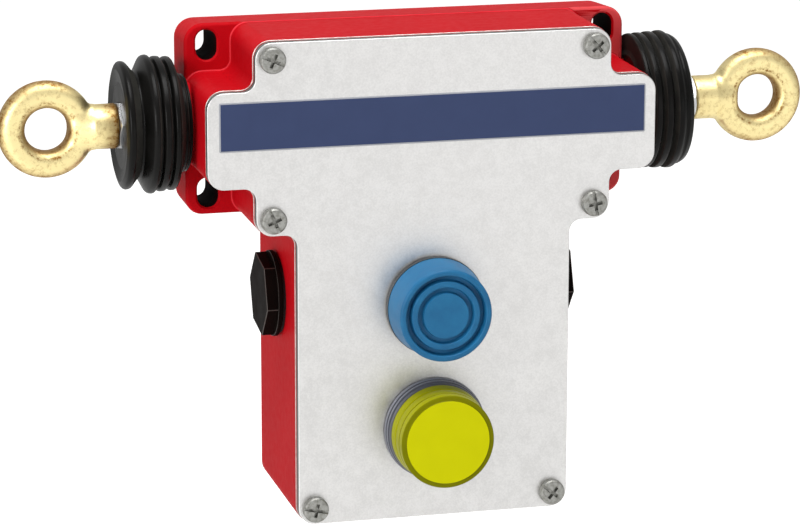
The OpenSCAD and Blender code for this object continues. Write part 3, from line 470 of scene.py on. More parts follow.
def lamp_glass():
    material, tree, shader, place = start_material(
        "clear_bulb_glass", IOR=1.5, Transmission_Weight=0.9)
    haze = noise(tree, place, 3, 3)
    colour = mix_colours(tree, haze, "#e8e8e4", "#f6f6f2")
    roughness = ramp(tree, haze, to=(0.04, 0.12))
    link_finish(tree, shader, colour, roughness, haze, 0.002)
    return material


finishes["lens_yellow"] = tinted_polycarbonate("lens_face", "#c6c503", "#cfce05", 0.3)
finishes["lamp_glass"] = lamp_glass()
print("lamp:", finishes["lens_yellow"].name, "and", finishes["lamp_glass"].name)

# %% [markdown]
# ## One finish for each slot
#
# The record names a material slot for every CAD node, and the finishes above are kept by
# those names. So one loop dresses every node, the pieces hidden inside the housing as well as
# those outside. The pieces that get a finer mesh below take their finish from the same slots.

# %% Finishes by slot
slot_of = {row["node"]: row["material_slot"] for row in frame["record"]["subparts"]}


def paint(piece, material):
    """Gives the whole piece one material."""
    piece.data.materials.clear()
    piece.data.materials.append(material)
    return piece


for name, node in frame["nodes"].items():
    paint(node, finishes[slot_of[name]])
print("finishes:", len(finishes), "CAD nodes painted:", len(frame["nodes"]))

# %% [markdown]
# ## Mesh tools
#
# Castings, sheet metal and mouldings never have perfectly sharp edges, and it is the small
# radius on an edge that catches the light. So an outline below is a list of corners, each
# with its own radius. One function draws the corners as arcs, and another moves the whole
# outline outwards or inwards.

# %% Rounded outlines
ARC_STEPS, SMOOTH_ANGLE = 8, 35


def round_corners(corners, closed=True, steps=ARC_STEPS):
    """Points along a line of (x, y, radius) corners, each corner drawn as an arc."""
    points = []
    count = len(corners)
    for i, (x, y, radius) in enumerate(corners):
        corner = Vector((x, y))
        if radius <= 0 or (not closed and i in (0, count - 1)):
            points.append(corner)
            continue
        before = (Vector(corners[i - 1][:2]) - corner).normalized()
        after = (Vector(corners[(i + 1) % count][:2]) - corner).normalized()
        half = before.angle(after) / 2
        middle = (before + after).normalized()
        centre = corner + middle * radius / sin(half)
        first = (corner + before * radius / np.tan(half) - centre).normalized()
        last = (corner + after * radius / np.tan(half) - centre).normalized()
        for step in range(steps + 1):
            points.append(centre + first.slerp(last, step / steps) * radius)
    return points


def grow(corners, d):
    """The same outline moved outwards by d, for corners listed anticlockwise."""
    grown = []
    count = len(corners)
    for i, (x, y, radius) in enumerate(corners):
        corner = Vector((x, y))
        along = (corner - Vector(corners[i - 1][:2])).normalized()
        onward = (Vector(corners[(i + 1) % count][:2]) - corner).normalized()
        out, out_next = Vector((along.y, -along.x)), Vector((onward.y, -onward.x))
        moved = corner + (out + out_next) * d / (1 + out.dot(out_next))
        turn = along.x * onward.y - along.y * onward.x
        grown.append((moved.x, moved.y, radius + d if turn > 0 else radius - d))
    return grown


square = [(0, 0, 1), (9, 0, 1), (9, 9, 1), (0, 9, 1)]
print("a rounded square has", len(round_corners(square)), "points; grown:", grow(square, 0.5))

# %% [markdown]
# Two kinds of mesh cover most of this object. The first lays rings of one outline behind each
# other, and lets them shrink or grow near the ends, so a rim comes out rounded. A bevel could
# round it too, but then each rim's radius would depend on which edges the bevel picks.

# %% Stacked meshes
def finish_mesh(name, points, faces, smooth_angle=SMOOTH_ANGLE):
    """A mesh object with outward normals, smooth except where it turns more than the angle."""
    mesh = bpy.data.meshes.new(name)
    mesh.from_pydata([tuple(p) for p in points], [], faces)
    work = bmesh.new()
    work.from_mesh(mesh)
    bmesh.ops.remove_doubles(work, verts=work.verts, dist=0.001 * MM)
    bmesh.ops.recalc_face_normals(work, faces=work.faces)
    work.to_mesh(mesh)
    work.free()
    mesh.shade_smooth()
    mesh.set_sharp_from_angle(angle=radians(smooth_angle))
    piece = bpy.data.objects.new(name, mesh)
    bpy.context.collection.objects.link(piece)
    return piece


def stacked(name, rings):
    """A closed solid through rings of the same number of points."""
    count = len(rings[0])
    points = [p for ring in rings for p in ring]
    faces = [
        (a + k, a + (k + 1) % count, a + count + (k + 1) % count, a + count + k)
        for a in range(0, count * (len(rings) - 1), count) for k in range(count)
    ]
    faces.append(tuple(range(count)))
    faces.append(tuple(range(len(points) - count, len(points))))
    return finish_mesh(name, points, faces)


def level_rings(corners, levels):
    """One outline at each level along Y: levels are (y, growth), all in millimetres."""
    return [
        [(p.x * MM, y * MM, p.y * MM) for p in round_corners(grow(corners, d))]
        for y, d in levels
    ]


def slab(name, corners, levels):
    """A solid stacked along Y through the levels of one outline."""
    return stacked(name, level_rings(corners, levels))


def ring_slab(name, corners, levels):
    """Like slab, but the levels close on themselves, so the solid is a frame."""
    rings = level_rings(corners, levels)
    count = len(rings[0])
    points = [p for ring in rings for p in ring]
    faces = []
    for i in range(len(rings)):
        a, b = i * count, (i + 1) % len(rings) * count
        faces += [(a + k, a + (k + 1) % count, b + (k + 1) % count, b + k) for k in range(count)]
    return finish_mesh(name, points, faces)


def quarter(y_edge, radius, steps=5):
    """Levels that round a rim, from the flat face at y_edge back to the full outline."""
    return [
        (y_edge + radius * (1 - cos(a)), radius * (sin(a) - 1))
        for a in [pi / 2 * i / steps for i in range(steps + 1)]
    ]


print("levels of a 1 mm rim:", [(round(y, 2), round(d, 2)) for y, d in quarter(0, 1)])

# %% [markdown]
# The second kind turns a rounded profile about an axis. A Screw modifier could turn it too,
# but with the faces written out, the solid is closed and its poles are single points.

# %% Spun meshes
SPIN_STEPS = 96


def spun(name, profile, centre, axis="Y", steps=SPIN_STEPS, smooth_angle=SMOOTH_ANGLE):
    """Turns a closed profile of (radius, place along the axis), in millimetres, about an
    axis through centre. Points on the axis become the poles."""
    points, rows = [], []
    for radius, along in profile:
        row = []
        for k in range(1 if radius < 1e-6 else steps):
            a = 2 * pi * k / steps
            side, height = radius * cos(a), radius * sin(a)
            if axis == "Y":
                place = (centre[0] + side, along, centre[2] + height)
            else:
                place = (along, centre[1] + side, centre[2] + height)
            row.append(len(points))
            points.append([v * MM for v in place])
        rows.append(row)
    faces = []
    for row, after in zip(rows, rows[1:] + rows[:1]):
        if len(row) == 1 and len(after) == 1:
            continue
        for k in range(steps):
            n = (k + 1) % steps
            corners = [row[k % len(row)], row[n % len(row)],
                       after[n % len(after)], after[k % len(after)]]
            faces.append(tuple(dict.fromkeys(corners)))
    return finish_mesh(name, points, faces, smooth_angle)


print("a spun mesh turns in steps of", 360 / SPIN_STEPS, "degrees")

# %% [markdown]
# ## From a CAD node to a finished piece
#
# A new piece takes the place of a CAD node and has to move with it. The CAD node itself is
# never changed: where its shape is right, a copy of it gets softer edges. A Boolean with the
# manifold solver trims one closed solid by another and keeps the result closed.

# %% Pieces and copies
def piece_of(piece, node, material):
    """Dresses a piece, puts it in place of a CAD node and lets it ride with that node."""
    paint(piece, material)
    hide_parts(node)
    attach(piece, frame["nodes"][node]["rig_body"])
    return piece


def copy_of(node, name):
    """A copy of a CAD node's mesh, with its split corners joined again."""
    source = frame["nodes"][node].data
    points = [v.co.copy() for v in source.vertices]
    faces = [tuple(p.vertices) for p in source.polygons]
    return finish_mesh(name, points, faces)


def apply_modifiers(piece):
    """Replaces the piece's mesh by what its modifiers make of it."""
    shape = piece.evaluated_get(bpy.context.evaluated_depsgraph_get())
    mesh = bpy.data.meshes.new_from_object(shape)
    piece.modifiers.clear()
    piece.data = mesh
    return piece


def trim(piece, tool, operation):
    """Cuts a piece by a tool, or joins the two, and removes the tool."""
    cut = piece.modifiers.new("trim", "BOOLEAN")
    cut.operation = operation
    cut.solver = "MANIFOLD"
    cut.object = tool
    bpy.context.view_layer.update()
    apply_modifiers(piece)
    bpy.data.objects.remove(tool)
    return piece


def softened(node, width):
    """A copy of a CAD node with a small radius on its sharp edges."""
    piece = copy_of(node, "softened_" + node)
    flat = piece.modifiers.new("flat_faces", "DECIMATE")
    flat.decimate_type = "DISSOLVE"
    flat.angle_limit = radians(0.5)
    edge = piece.modifiers.new("edge", "BEVEL")
    edge.width = width * MM
    edge.segments = 3
    edge.limit_method = "ANGLE"
    edge.angle_limit = radians(30)
    apply_modifiers(piece)
    return piece_of(even_normals(piece), node, finishes[slot_of[node]])


def even_normals(piece):
    """Smooth shading in which the large flat faces stay flat."""
    piece.data.shade_smooth()
    piece.data.set_sharp_from_angle(angle=radians(SMOOTH_ANGLE))
    weighted = piece.modifiers.new("even_normals", "WEIGHTED_NORMAL")
    weighted.keep_sharp = True
    return piece


riders = [node["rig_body"] for node in frame["nodes"].values()]
print("nodes on each body:", {body: riders.count(body) for body in sorted(set(riders))})

# %% [markdown]
# ## The casting
#
# The housing is one die casting: a T-shaped box on a flange with four ears. The CAD solid has
# the right walls, slots and bores but sharp edges. The rounded edges come from a second
# solid, stacked from the same outline with soft rims and with a fillet where the box meets the
# ears. What the two have in common is the casting. A bevel could round the edges too, but the
# slots and bores cross them, and there a bevel would tear.
#
# The flange leaves its die with a little draft: its ends and its top lean toward the wall.

# %% Outline of the T
plate_low, plate_high = [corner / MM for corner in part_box("cover_plate")]
ARM_X, TAB_X, STEM_X = plate_high.x, 58.7, 45.4
ARM_Z, TAB_TOP, TAB_FOOT, FOOT = 15.65, plate_high.z, -31.5, plate_low.z
CORNER, NOTCH = 5.5, 4.0
AXIS_Y = -22.0


def mirrored(half):
    """The full outline from the corners on the right, listed from the foot upwards."""
    return half + [(-x, z, r) for x, z, r in reversed(half)]


tee = mirrored([
    (STEM_X, FOOT, CORNER), (STEM_X, TAB_FOOT, NOTCH), (TAB_X, TAB_FOOT, CORNER),
    (TAB_X, -ARM_Z, NOTCH), (ARM_X, -ARM_Z, CORNER), (ARM_X, ARM_Z, CORNER),
    (TAB_X, ARM_Z, NOTCH), (TAB_X, TAB_TOP, CORNER),
])
EDGE_STEP = 0.3
FLANGE_OVER, FLANGE_DRAFT, TOP_OVER, TOP_DRAFT = 0.34, 0.25, 0.5, 1.25
FLANGE_CORNER = CORNER + 0.8
Y_RIM, Y_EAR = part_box("housing")[0].y / MM, -19.0


def flange_at(y):
    """The outline of the flange at a depth: its ends and its top are drafted toward the wall."""
    depth = min(max(1 - y / Y_EAR, 0), 1)
    side = ARM_X + FLANGE_OVER - FLANGE_DRAFT * depth
    top = TAB_TOP + TOP_OVER - TOP_DRAFT * depth
    return mirrored([
        (STEM_X + EDGE_STEP, FOOT - EDGE_STEP, CORNER + EDGE_STEP),
        (STEM_X + EDGE_STEP, TAB_FOOT - EDGE_STEP, NOTCH),
        (side, TAB_FOOT - EDGE_STEP, CORNER), (side, top, FLANGE_CORNER),
    ])


print("plate", [round(v, 2) for v in plate_high - plate_low], "mm")

# %% Collar and spigots
SKIN = -0.02
RIM_ROUND, FLANGE_ROUND, JOINT_FILLET = 0.5, 1.2, 0.55
BEHIND = 1.0
COLLAR_T = 1.5
WALL = EDGE_STEP + SKIN
SPIGOT_FROM, SPIGOT_TO, SPIGOT_BORE, SPIGOT_ROOM = 70, 82, 13.02, 14


def fillet_levels(start, radius, steps=6):
    """Levels of a concave fillet that runs out from the wall to the face at Y_EAR."""
    return [
        (Y_EAR - radius * (1 - sin(a)), start + radius * (1 - cos(a)))
        for a in [pi / 2 * i / steps for i in range(steps + 1)]
    ]


def flange_stack(name, levels):
    """A solid stacked along Y from the drafted outline of the flange."""
    return stacked(name, [
        [(p.x * MM, y * MM, p.y * MM) for p in round_corners(grow(flange_at(y), d))]
        for y, d in levels
    ])


def spigot_rod(side, radius):
    """A rod along the rope axis, as thick as asked, through one end of the arms."""
    near, far = SPIGOT_FROM * side, SPIGOT_TO * side
    profile = [(0, near), (radius, near), (radius, far), (0, far)]
    return spun("spigot_rod", profile, (0, AXIS_Y, 0), axis="X")


def fillet_collar():
    """The extra metal of the fillet, as a frame round the box that keeps clear of the bores."""
    collar = ring_slab("collar", tee, fillet_levels(WALL, JOINT_FILLET) + [
        (Y_EAR + BEHIND, WALL + JOINT_FILLET), (Y_EAR + BEHIND, WALL - COLLAR_T),
        (Y_EAR - JOINT_FILLET, WALL - COLLAR_T)])
    for side in (-1, 1):
        trim(collar, spigot_rod(side, SPIGOT_BORE), "DIFFERENCE")
    return collar


print("fillet of", JOINT_FILLET, "mm, rim rounded by", RIM_ROUND, "mm")

# %% Casting
def soft_outside():
    """The casting's outside with its rounded rims, as one closed solid without bores."""
    foot = WALL + JOINT_FILLET + 0.02
    outside = slab("outside", tee, [
        (y, WALL + d) for y, d in quarter(Y_RIM + 0.02, RIM_ROUND)
    ] + fillet_levels(WALL, JOINT_FILLET + 0.02) + [(BEHIND, foot)])
    ears = flange_stack("ears", [
        (y, SKIN + d) for y, d in quarter(Y_EAR - 0.02, FLANGE_ROUND)] + [(BEHIND, SKIN)])
    trim(outside, ears, "UNION")
    reach = flange_stack("reach", [(Y_RIM - 2, SKIN), (Y_EAR, SKIN), (0, SKIN), (2, SKIN)])
    trim(outside, reach, "INTERSECT")
    for side in (-1, 1):
        trim(outside, spigot_rod(side, SPIGOT_ROOM), "UNION")
    return outside


def rounded_casting():
    casting = copy_of("housing", "casting")
    trim(casting, fillet_collar(), "UNION")
    trim(casting, soft_outside(), "INTERSECT")
    return even_normals(casting)


casting = piece_of(rounded_casting(), "housing", finishes["red_enamel"])
print("casting:", len(casting.data.polygons), "faces")

# %% [markdown]
# The fixing slots are cored, so one wall of each is drafted as well, and a slot is narrower at
# the back than in front. An M6 screw still passes. The points of that wall move in proportion
# to their depth.

# %% Draft of the fixing slots
SLOT_X, SLOT_Z, SLOT_HALF, SLOT_END, SLOT_DRAFT = 67.0, 24.5, 3.5, 5.1, 0.7
for vertex in casting.data.vertices:
    x, y, z = vertex.co / MM
    from_middle = x - SLOT_X if x > 0 else x + SLOT_X
    if 0 < from_middle < SLOT_HALF + 0.1 and abs(abs(z) - SLOT_Z) < SLOT_END and y > Y_EAR:
        vertex.co.x -= SLOT_DRAFT * MM * (1 - y / Y_EAR) * from_middle / SLOT_HALF
print("slots", 2 * SLOT_HALF, "mm wide in front,", 2 * SLOT_HALF - SLOT_DRAFT, "mm behind")

# %% [markdown]
# The same casting wears four other finishes. The crease where the box meets the ears gets a
# paler red, a painted highlight. The rounding of the rim under the cover gets a pale metal,
# which shows as a thin bright line. The walls of the fixing slots are near black, painted
# shade. The ears at one end get a paler red, a painted sheen.
# Each finish goes to the faces that lie in its place and lean the right way.

# %% Other finishes of the casting
CREASE_HIGHLIGHT, PALE_RIM, SLOT_SHADE, EAR_SHEEN = 1, 2, 3, 4
# A paler red for the crease: a painted highlight.
casting.data.materials.append(red_enamel("painted_crease_highlight", "#cf2731", "#db3e48"))
# A pale metal for the rounding of the rim, which shows as a thin bright line.
casting.data.materials.append(
    worked_metal("pale_metal_rim", "#b3adaa", "#918c89", 0.3, 2, 0.38, 0.5))
# Near black for the walls of the fixing slots: painted shade.
casting.data.materials.append(
    moulded_plastic("painted_slot_shade", "#140505", "#1f0808", 0.6, 0.7, gloss=0.01))
# A paler red for the ears at one end: a painted sheen.
casting.data.materials.append(red_enamel("painted_ear_sheen", "#d24548", "#dc5153"))


def finish_at(x, y, z, lean):
    """Which finish a face of the casting gets, from its place and the lean of its normal."""
    in_slot = abs(abs(x) - SLOT_X) < 4 and abs(abs(z) - SLOT_Z) < 5.5 and y > Y_EAR + 0.3
    in_crease = abs(y - Y_EAR + JOINT_FILLET / 2) < JOINT_FILLET / 2
    on_ears = x > TAB_X + 1.5 and abs(z) > ARM_Z + 0.5 and Y_EAR - 1.8 < y < Y_EAR + 3.5
    # The slot walls get painted shade, the crease a painted highlight and the ears at one end a
    # painted sheen; the rounding of the rim gets a pale metal.
    if in_slot and abs(lean.y) < 0.5:
        return SLOT_SHADE
    if y < Y_RIM + 0.2 and 0.4 < abs(lean.y) < 0.98:
        return PALE_RIM
    if in_crease and 0.15 < -lean.y < 0.97:
        return CREASE_HIGHLIGHT
    return EAR_SHEEN if on_ears and lean.x > -0.3 else 0


for face in casting.data.polygons:
    face.material_index = finish_at(*face.center / MM, face.normal)
print("finishes of the casting:", [material.name for material in casting.data.materials])

# %% [markdown]
# ## The cover plate
#
# The cover is punched from sheet, so its front edge is drawn in a little by the punch. A
# third of a millimetre of rounding is enough for the edge to show as a bright line. The sides
# of the sheet are sheared metal, painted darker as the shade of the gap behind the cover. The
# punch has left the arm at one end a third of a millimetre longer than the other, so its last
# corners are moved out by that much.

# %% Cover plate
LONG_ARM, PLATE_ROUND, PUNCHED_SIDE = 0.35, 0.35, 0.35


def rounded_plate():
    plate = copy_of("cover_plate", "plate")
    for vertex in plate.data.vertices:
        if vertex.co.x < -(TAB_X + 5) * MM:
            vertex.co.x -= LONG_ARM * MM
    outline = [(x - LONG_ARM if x < -TAB_X else x, z, r) for x, z, r in tee]
    outside = slab("plate_outside", outline, [
        (y, SKIN + d) for y, d in quarter(plate_low.y - 0.005, PLATE_ROUND)
    ] + [(plate_high.y + BEHIND, SKIN)])
    trim(plate, outside, "INTERSECT")
    return even_normals(plate)


plate = piece_of(rounded_plate(), "cover_plate", finishes["plate_aluminium"])
# The sides of the sheet get the darker metal: sheared metal, painted darker as the shade of the gap
# behind the cover.
plate.data.materials.append(edge_and_gap_shade)
for face in plate.data.polygons:
    if abs(face.normal.y) < PUNCHED_SIDE:
        face.material_index = 1
print("plate:", len(plate.data.polygons), "faces")

# %% [markdown]
# ## Film strip
#
# The blue strip is a printed film. Its clear margin stands a little proud of the plate and
# shows as a thin pale line round the blue.

# %% Film margin
label_low, label_high = [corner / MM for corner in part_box("label_strip")]
MARGIN, MARGIN_PROUD, MARGIN_ROUND, MARGIN_CORNER = 0.5, 0.16, 0.08, 0.6


def film_margin():
    left, foot = label_low.x - MARGIN, label_low.z - MARGIN
    right, top = label_high.x + MARGIN, label_high.z + MARGIN
    corners = [(x, z, MARGIN_CORNER) for x, z in
               ((right, foot), (right, top), (left, top), (left, foot))]
    levels = quarter(plate_low.y - MARGIN_PROUD, MARGIN_ROUND) + [(plate_low.y + 0.1, 0)]
    return slab("film_margin", corners, levels)


clear_film = moulded_plastic("clear_film_margin", "#a2a4ab", "#adafb5", 0.25, 0.3, 1.5, 0.2)
margin = paint(film_margin(), clear_film)
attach(margin, "switch_body")
print("film margin:", len(margin.data.polygons), "faces")

# %% [markdown]
# ## Plugs and screws
#
# The cable entries that aren't used are closed by hexagon plugs. Each is moulded in one piece:
# a threaded rod, a round flange and a hexagon for the spanner. The rod and flange are spun,
# the hexagon is stacked with a rounded front edge, and the two are joined. The faces on a
# rounded edge get a paler plastic, a painted highlight.

# %% Plugs
PLUG_Y, PLUG_Z, PLUG_TURN = -26.7, -57.6, radians(10)
PLUG_ROD, PLUG_FLANGE, PLUG_FLANGE_T, PLUG_ACROSS, PLUG_HEAD_H = 9.6, 14.2, 1.6, 24.0, 3.8
SIXTH = pi / 3


def plug_rod(inner, seat, side):
    """The threaded rod and the round flange, spun in one."""
    outer = seat + side * PLUG_FLANGE_T
    corners = [
        (0, inner, 0), (PLUG_ROD, inner, 0.3), (PLUG_ROD, seat, 0.1),
        (PLUG_FLANGE, seat, 0.25), (PLUG_FLANGE, outer, 0.35), (0, outer, 0),
    ]
    profile = [(p.x, p.y) for p in round_corners(corners, steps=4)]
    return spun("plug", profile, (0, PLUG_Y, PLUG_Z), axis="X")


def hexagon_plug(side, node):
    low, high = [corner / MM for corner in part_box(node)]
    face, inner = (low.x, high.x) if side < 0 else (high.x, low.x)
    seat = face - side * (PLUG_HEAD_H + PLUG_FLANGE_T)
    corner = PLUG_ACROSS / sqrt(3)
    outline = [
        (corner * cos(PLUG_TURN + SIXTH * k), corner * sin(PLUG_TURN + SIXTH * k), 0.35)
        for k in range(6)
    ]
    levels = [(face - side * d, grown) for d, grown in quarter(0, 0.3)]
    levels.append((seat + side * (PLUG_FLANGE_T - 0.2), 0))
    head = stacked("plug_head", [
        [(x * MM, (PLUG_Y + p.x) * MM, (PLUG_Z + p.y) * MM)
         for p in round_corners(grow(outline, grown), steps=3)]
        for x, grown in levels
    ])
    return even_normals(trim(plug_rod(inner, seat, side), head, "UNION"))


def on_plug_edge(face):
    """Whether a face lies on a rounded edge: it leans, or it turns between two flats."""
    from_axis = np.hypot(face.center.y / MM - PLUG_Y, face.center.z / MM - PLUG_Z)
    lean = abs(face.normal.x)
    turn = (np.arctan2(face.normal.z, face.normal.y) - PLUG_TURN) % SIXTH - SIXTH / 2
    rounded = 0.15 < lean < 0.95 or (lean < 0.15 and abs(turn) > 0.12)
    return rounded and from_axis < PLUG_FLANGE - 0.15


# The paler plastic on the rounded edges of the plugs is a painted highlight.
painted_plug_edge_highlight = moulded_plastic("painted_plug_edge_highlight", "#352e2b", "#48403c", 0.4, 0.5)
for side, node in ((-1, "entry_plug_left"), (1, "entry_plug_right")):
    plug = piece_of(hexagon_plug(side, node), node, finishes["plug_plastic"])
    plug.data.materials.append(painted_plug_edge_highlight)
    for face in plug.data.polygons:
        face.material_index = int(on_plug_edge(face))
    print(node, [round(v / MM, 2) for v in plug.dimensions], "mm")

# %% [markdown]
# The cover screws keep their CAD shape. A copy of them gets a small radius on every sharp edge.

# %% Screws
screws = softened("cover_screws", 0.12)
print(screws.name, len(screws.data.polygons), "faces")

# %% [markdown]
# ## Lock nuts
#
# A lock nut holds each eye on the shaft and sits in the front opening of the rubber bellows.
# It is a softened copy of the CAD nut, drawn in about the rope axis so that it fits the
# rubber, while its bore keeps its size.

# %% Lock nuts
NUT_SCALE, NUT_BORE = 0.91, 7


def from_rope_axis(place):
    """Depth behind the rope axis, height over it and distance from it, in millimetres."""
    out, up = place.y / MM - AXIS_Y, place.z / MM
    return out, up, np.hypot(out, up)


for node in ("lock_nut_left", "lock_nut_right"):
    nut = softened(node, 0.15)
    for vertex in nut.data.vertices:
        out, up, radius = from_rope_axis(vertex.co)
        if radius > NUT_BORE:
            vertex.co.y, vertex.co.z = (AXIS_Y + out * NUT_SCALE) * MM, up * NUT_SCALE * MM
    print(nut.name, [round(v / MM, 2) for v in nut.dimensions], "mm")

# %% [markdown]
# ## Rubber bellows
#
# A bellows seals the gap between the casting and each moving eye. It is one moulding: a
# collar that grips the spigot, three folds, and an open cup round the neck of the eye. Its
# profile is a closed line of corners, each with its own radius, spun about the rope axis.
#
# Three things keep it from being a perfect spun body. Its front opening is pressed to the
# hexagon of the lock nut. Behind the rope axis the folds touch the wall and are flat there.
# And one bellows sags, so its rings lean a little. The faces of the folds that look toward
# the casting get a paler grey rubber, a painted highlight.

# %% Bellows profiles
START = 75.1
LEFT_OUTER = [
    (15.3, START, 0.2), (16.1, START + 0.5, 0.35), (15.4, START + 1.05, 0.2),
    (16.3, START + 1.7, 0.45), (15.9, START + 2.4, 0.3), (17.2, 78.0, 0.5),
    (21.8, 79.6, 1.2), (21.7, 81.5, 0.7), (19.6, 82.3, 0.25),
    (21.9, 83.0, 0.7), (22.0, 85.0, 0.8), (20.0, 85.8, 0.25),
    (22.6, 86.6, 1.0), (22.4, 88.6, 1.6), (17.0, 91.4, 0.8),
    (20.6, 94.4, 1.2), (21.0, 96.3, 1.2), (18.2, 97.1, 1.2),
]
LEFT_INNER = [
    (14.0, 96.3, 2.0), (9.5, 96.5, 0.3), (9.5, 93.4, 0.1), (5.05, 93.4, 0),
    (5.05, 91.1, 0), (8.05, 91.1, 0.2), (15.0, 90.6, 0.5), (17.3, 87.6, 0.3),
    (17.3, 80.9, 0.3), (13.05, 79.1, 0.1), (13.05, START, 0),
]
RIGHT_OUTER = [
    (15.3, START, 0.1), (16.0, START + 0.25, 0.15), (17.0, START + 0.5, 0.1),
    (22.3, 75.6, 0.6), (22.5, 77.1, 0.6), (20.6, 77.8, 0.25),
    (22.6, 78.6, 0.7), (22.6, 80.6, 0.8), (20.4, 81.4, 0.25),
    (22.8, 82.2, 0.8), (22.9, 84.3, 0.9), (20.4, 85.2, 0.25),
    (23.0, 86.2, 1.0), (23.1, 88.0, 1.3), (21.7, 89.4, 0.4),
    (22.0, 90.1, 0.8), (21.0, 91.9, 1.4), (18.4, 92.5, 1.0),
]
RIGHT_INNER = [
    (14.0, 91.8, 1.5), (9.5, 91.8, 0.3), (9.5, 90.2, 0.2), (5.05, 90.2, 0),
    (5.05, 88.0, 0), (8.05, 88.0, 0.2), (16.0, 87.6, 0.5), (18.2, 86.0, 0.3),
    (18.2, 78.0, 0.3), (13.05, 77.4, 0.1), (13.05, START, 0),
]
print("folds of", len(LEFT_OUTER), "and", len(RIGHT_OUTER), "corners")

# %% Bellows
NUT_FIT = 8.06 * NUT_SCALE
OPENING, OPENING_FROM, OPENING_TO = 9.5, 9.0, 10.2
WALL_REACH = 0.35
SAG, SAG_LENGTH = 0.035, 16


def nut_corner(node):
    """The angle at which a lock nut has a corner."""
    nut = frame["nodes"][node].data.vertices
    out, up, _ = max((from_rope_axis(v.co) for v in nut), key=lambda place: place[2])
    return np.arctan2(up, out)


def bellows_piece(side, name, node, outer, inner):
    """Spins the profile, then presses its front opening to the hexagon of the lock nut."""
    profile = [(p.x, p.y) for p in round_corners(outer + inner, steps=5)]
    piece = spun(name, [(r, side * x) for r, x in profile], (0, AXIS_Y, 0), axis="X",
                 steps=120, smooth_angle=80)
    corner = nut_corner(node.replace("bellows", "lock_nut"))
    for vertex in piece.data.vertices:
        out, up, radius = from_rope_axis(vertex.co)
        if OPENING_FROM < radius < OPENING_TO:
            turn = (np.arctan2(up, out) - corner) % SIXTH - SIXTH / 2
            fit = NUT_FIT / cos(turn) / OPENING
            vertex.co.y, vertex.co.z = (AXIS_Y + out * fit) * MM, up * fit * MM
        vertex.co.y = min(vertex.co.y, WALL_REACH * MM)
        if side > 0:
            vertex.co.x -= SAG * vertex.co.z * (vertex.co.x / MM - START) / SAG_LENGTH
    return piece


def fit_bellows(side, name, node, outer, inner, hub_x):
    piece = bellows_piece(side, name, node, outer, inner)
    paint(piece, finishes["bellows_rubber"])
    # The faces of the folds that look toward the casting get the paler rubber: a painted highlight.
    piece.data.materials.append(fold_highlight_rubber)
    for face in piece.data.polygons:
        if side * face.normal.x < -0.55 and from_rope_axis(face.center)[2] > 15:
            face.material_index = 1
    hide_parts(node)
    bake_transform(piece)
    return piece


# A paler, dull grey rubber for a painted highlight on the folds.
fold_highlight_rubber = moulded_rubber("painted_fold_highlight", "#2d2c2a", "#393834", 6, 0.6, 0.7, 0.02)
for side, word, outer, inner, hub_x in (
        (-1, "left", LEFT_OUTER, LEFT_INNER, 91), (1, "right", RIGHT_OUTER, RIGHT_INNER, 88)):
    node = "bellows_" + word
    piece = fit_bellows(side, "rubber_" + node, node, outer, inner, hub_x)
    reach = [abs(v.co.x) / MM for v in piece.data.vertices]
    print(piece.name, "from", round(min(reach), 1), "to", round(max(reach), 1), "mm")

# %% [markdown]
# ## Springs
#
# Two springs on the shaft bring it back to the middle, and a third pushes the reset button
# out. Each stands between a piece that moves and one that doesn't, so its coils close up on
# one side.

# %% Springs
def fit_spring(node):
    spring = paint(copy_of(node, "coiled_" + node), finishes["spring_steel"])
    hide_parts(node)
    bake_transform(spring)
    return spring


for side, node in ((-1, "centring_spring_left"), (1, "centring_spring_right")):
    low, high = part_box(node)
    fit_spring(node)
low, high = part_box("reset_spring")
fit_spring("reset_spring")

# %% [markdown]
# ## Eye nuts
#
# Each eye is a hot forging: a round bar bent to a ring, drawn out into a round neck, then
# zinc plated and passivated yellow. A forging has no sharp inside corners, so its form is
# written as a distance: a ring of slightly squared section, a tapered neck, and a fillet
# between the two. A bevelled Boolean of ring and neck would leave a seam where they meet.

# %% Form of the eye
EYE_HOLE, EYE_RING, EYE_SECTION, EYE_SQUARE = 7.0, 11.3, 4.5, 2.3
EYE_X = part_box("eye_nut_right")[1].x / MM - EYE_RING - EYE_SECTION
NECK, NECK_LENGTH, NECK_FROM, NECK_RIM = 7.3, 22.8, 7.6, 0.8
NECK_END = EYE_X - NECK_LENGTH
TAPER, TAPER_FROM, CONE_SLANT = 0.45, 15.2, 0.92
WEB_FILLET, HOLE_FILLET, HOLE_WEAR = 2.2, 1.2, 0.35


def soft_union(a, b, blend):
    """The smaller of two distances, with a fillet of about the blend's size between them."""
    share = np.clip(0.5 + 0.5 * (b - a) / blend, 0, 1)
    return b + (a - b) * share - blend * share * (1 - share)


def ring_distance(from_centre, out):
    """Distance from the bar of the ring, whose section is a circle squared a little."""
    across = np.abs(from_centre - EYE_RING) / EYE_SECTION
    along = np.abs(out) / (EYE_SECTION + 0.1)
    squared = np.power(across ** EYE_SQUARE + along ** EYE_SQUARE, 1 / EYE_SQUARE)
    return (squared - 1) * EYE_SECTION


def neck_distance(from_axis, toward_body):
    """Distance from the round neck, which tapers toward the ring and has a rounded end."""
    radius = np.clip(NECK - TAPER * np.maximum(TAPER_FROM - toward_body, 0), 1.5, NECK)
    cone = (from_axis - radius) * CONE_SLANT
    past_end = toward_body - NECK_LENGTH
    neck = np.maximum(np.maximum(cone, NECK_FROM - toward_body), past_end)
    rim = np.hypot(np.maximum(from_axis - NECK + NECK_RIM, 0),
                   np.maximum(past_end + NECK_RIM, 0)) - NECK_RIM
    on_rim = (from_axis > NECK - NECK_RIM) & (past_end > -NECK_RIM)
    return np.where(on_rim, np.maximum(neck, rim), neck)


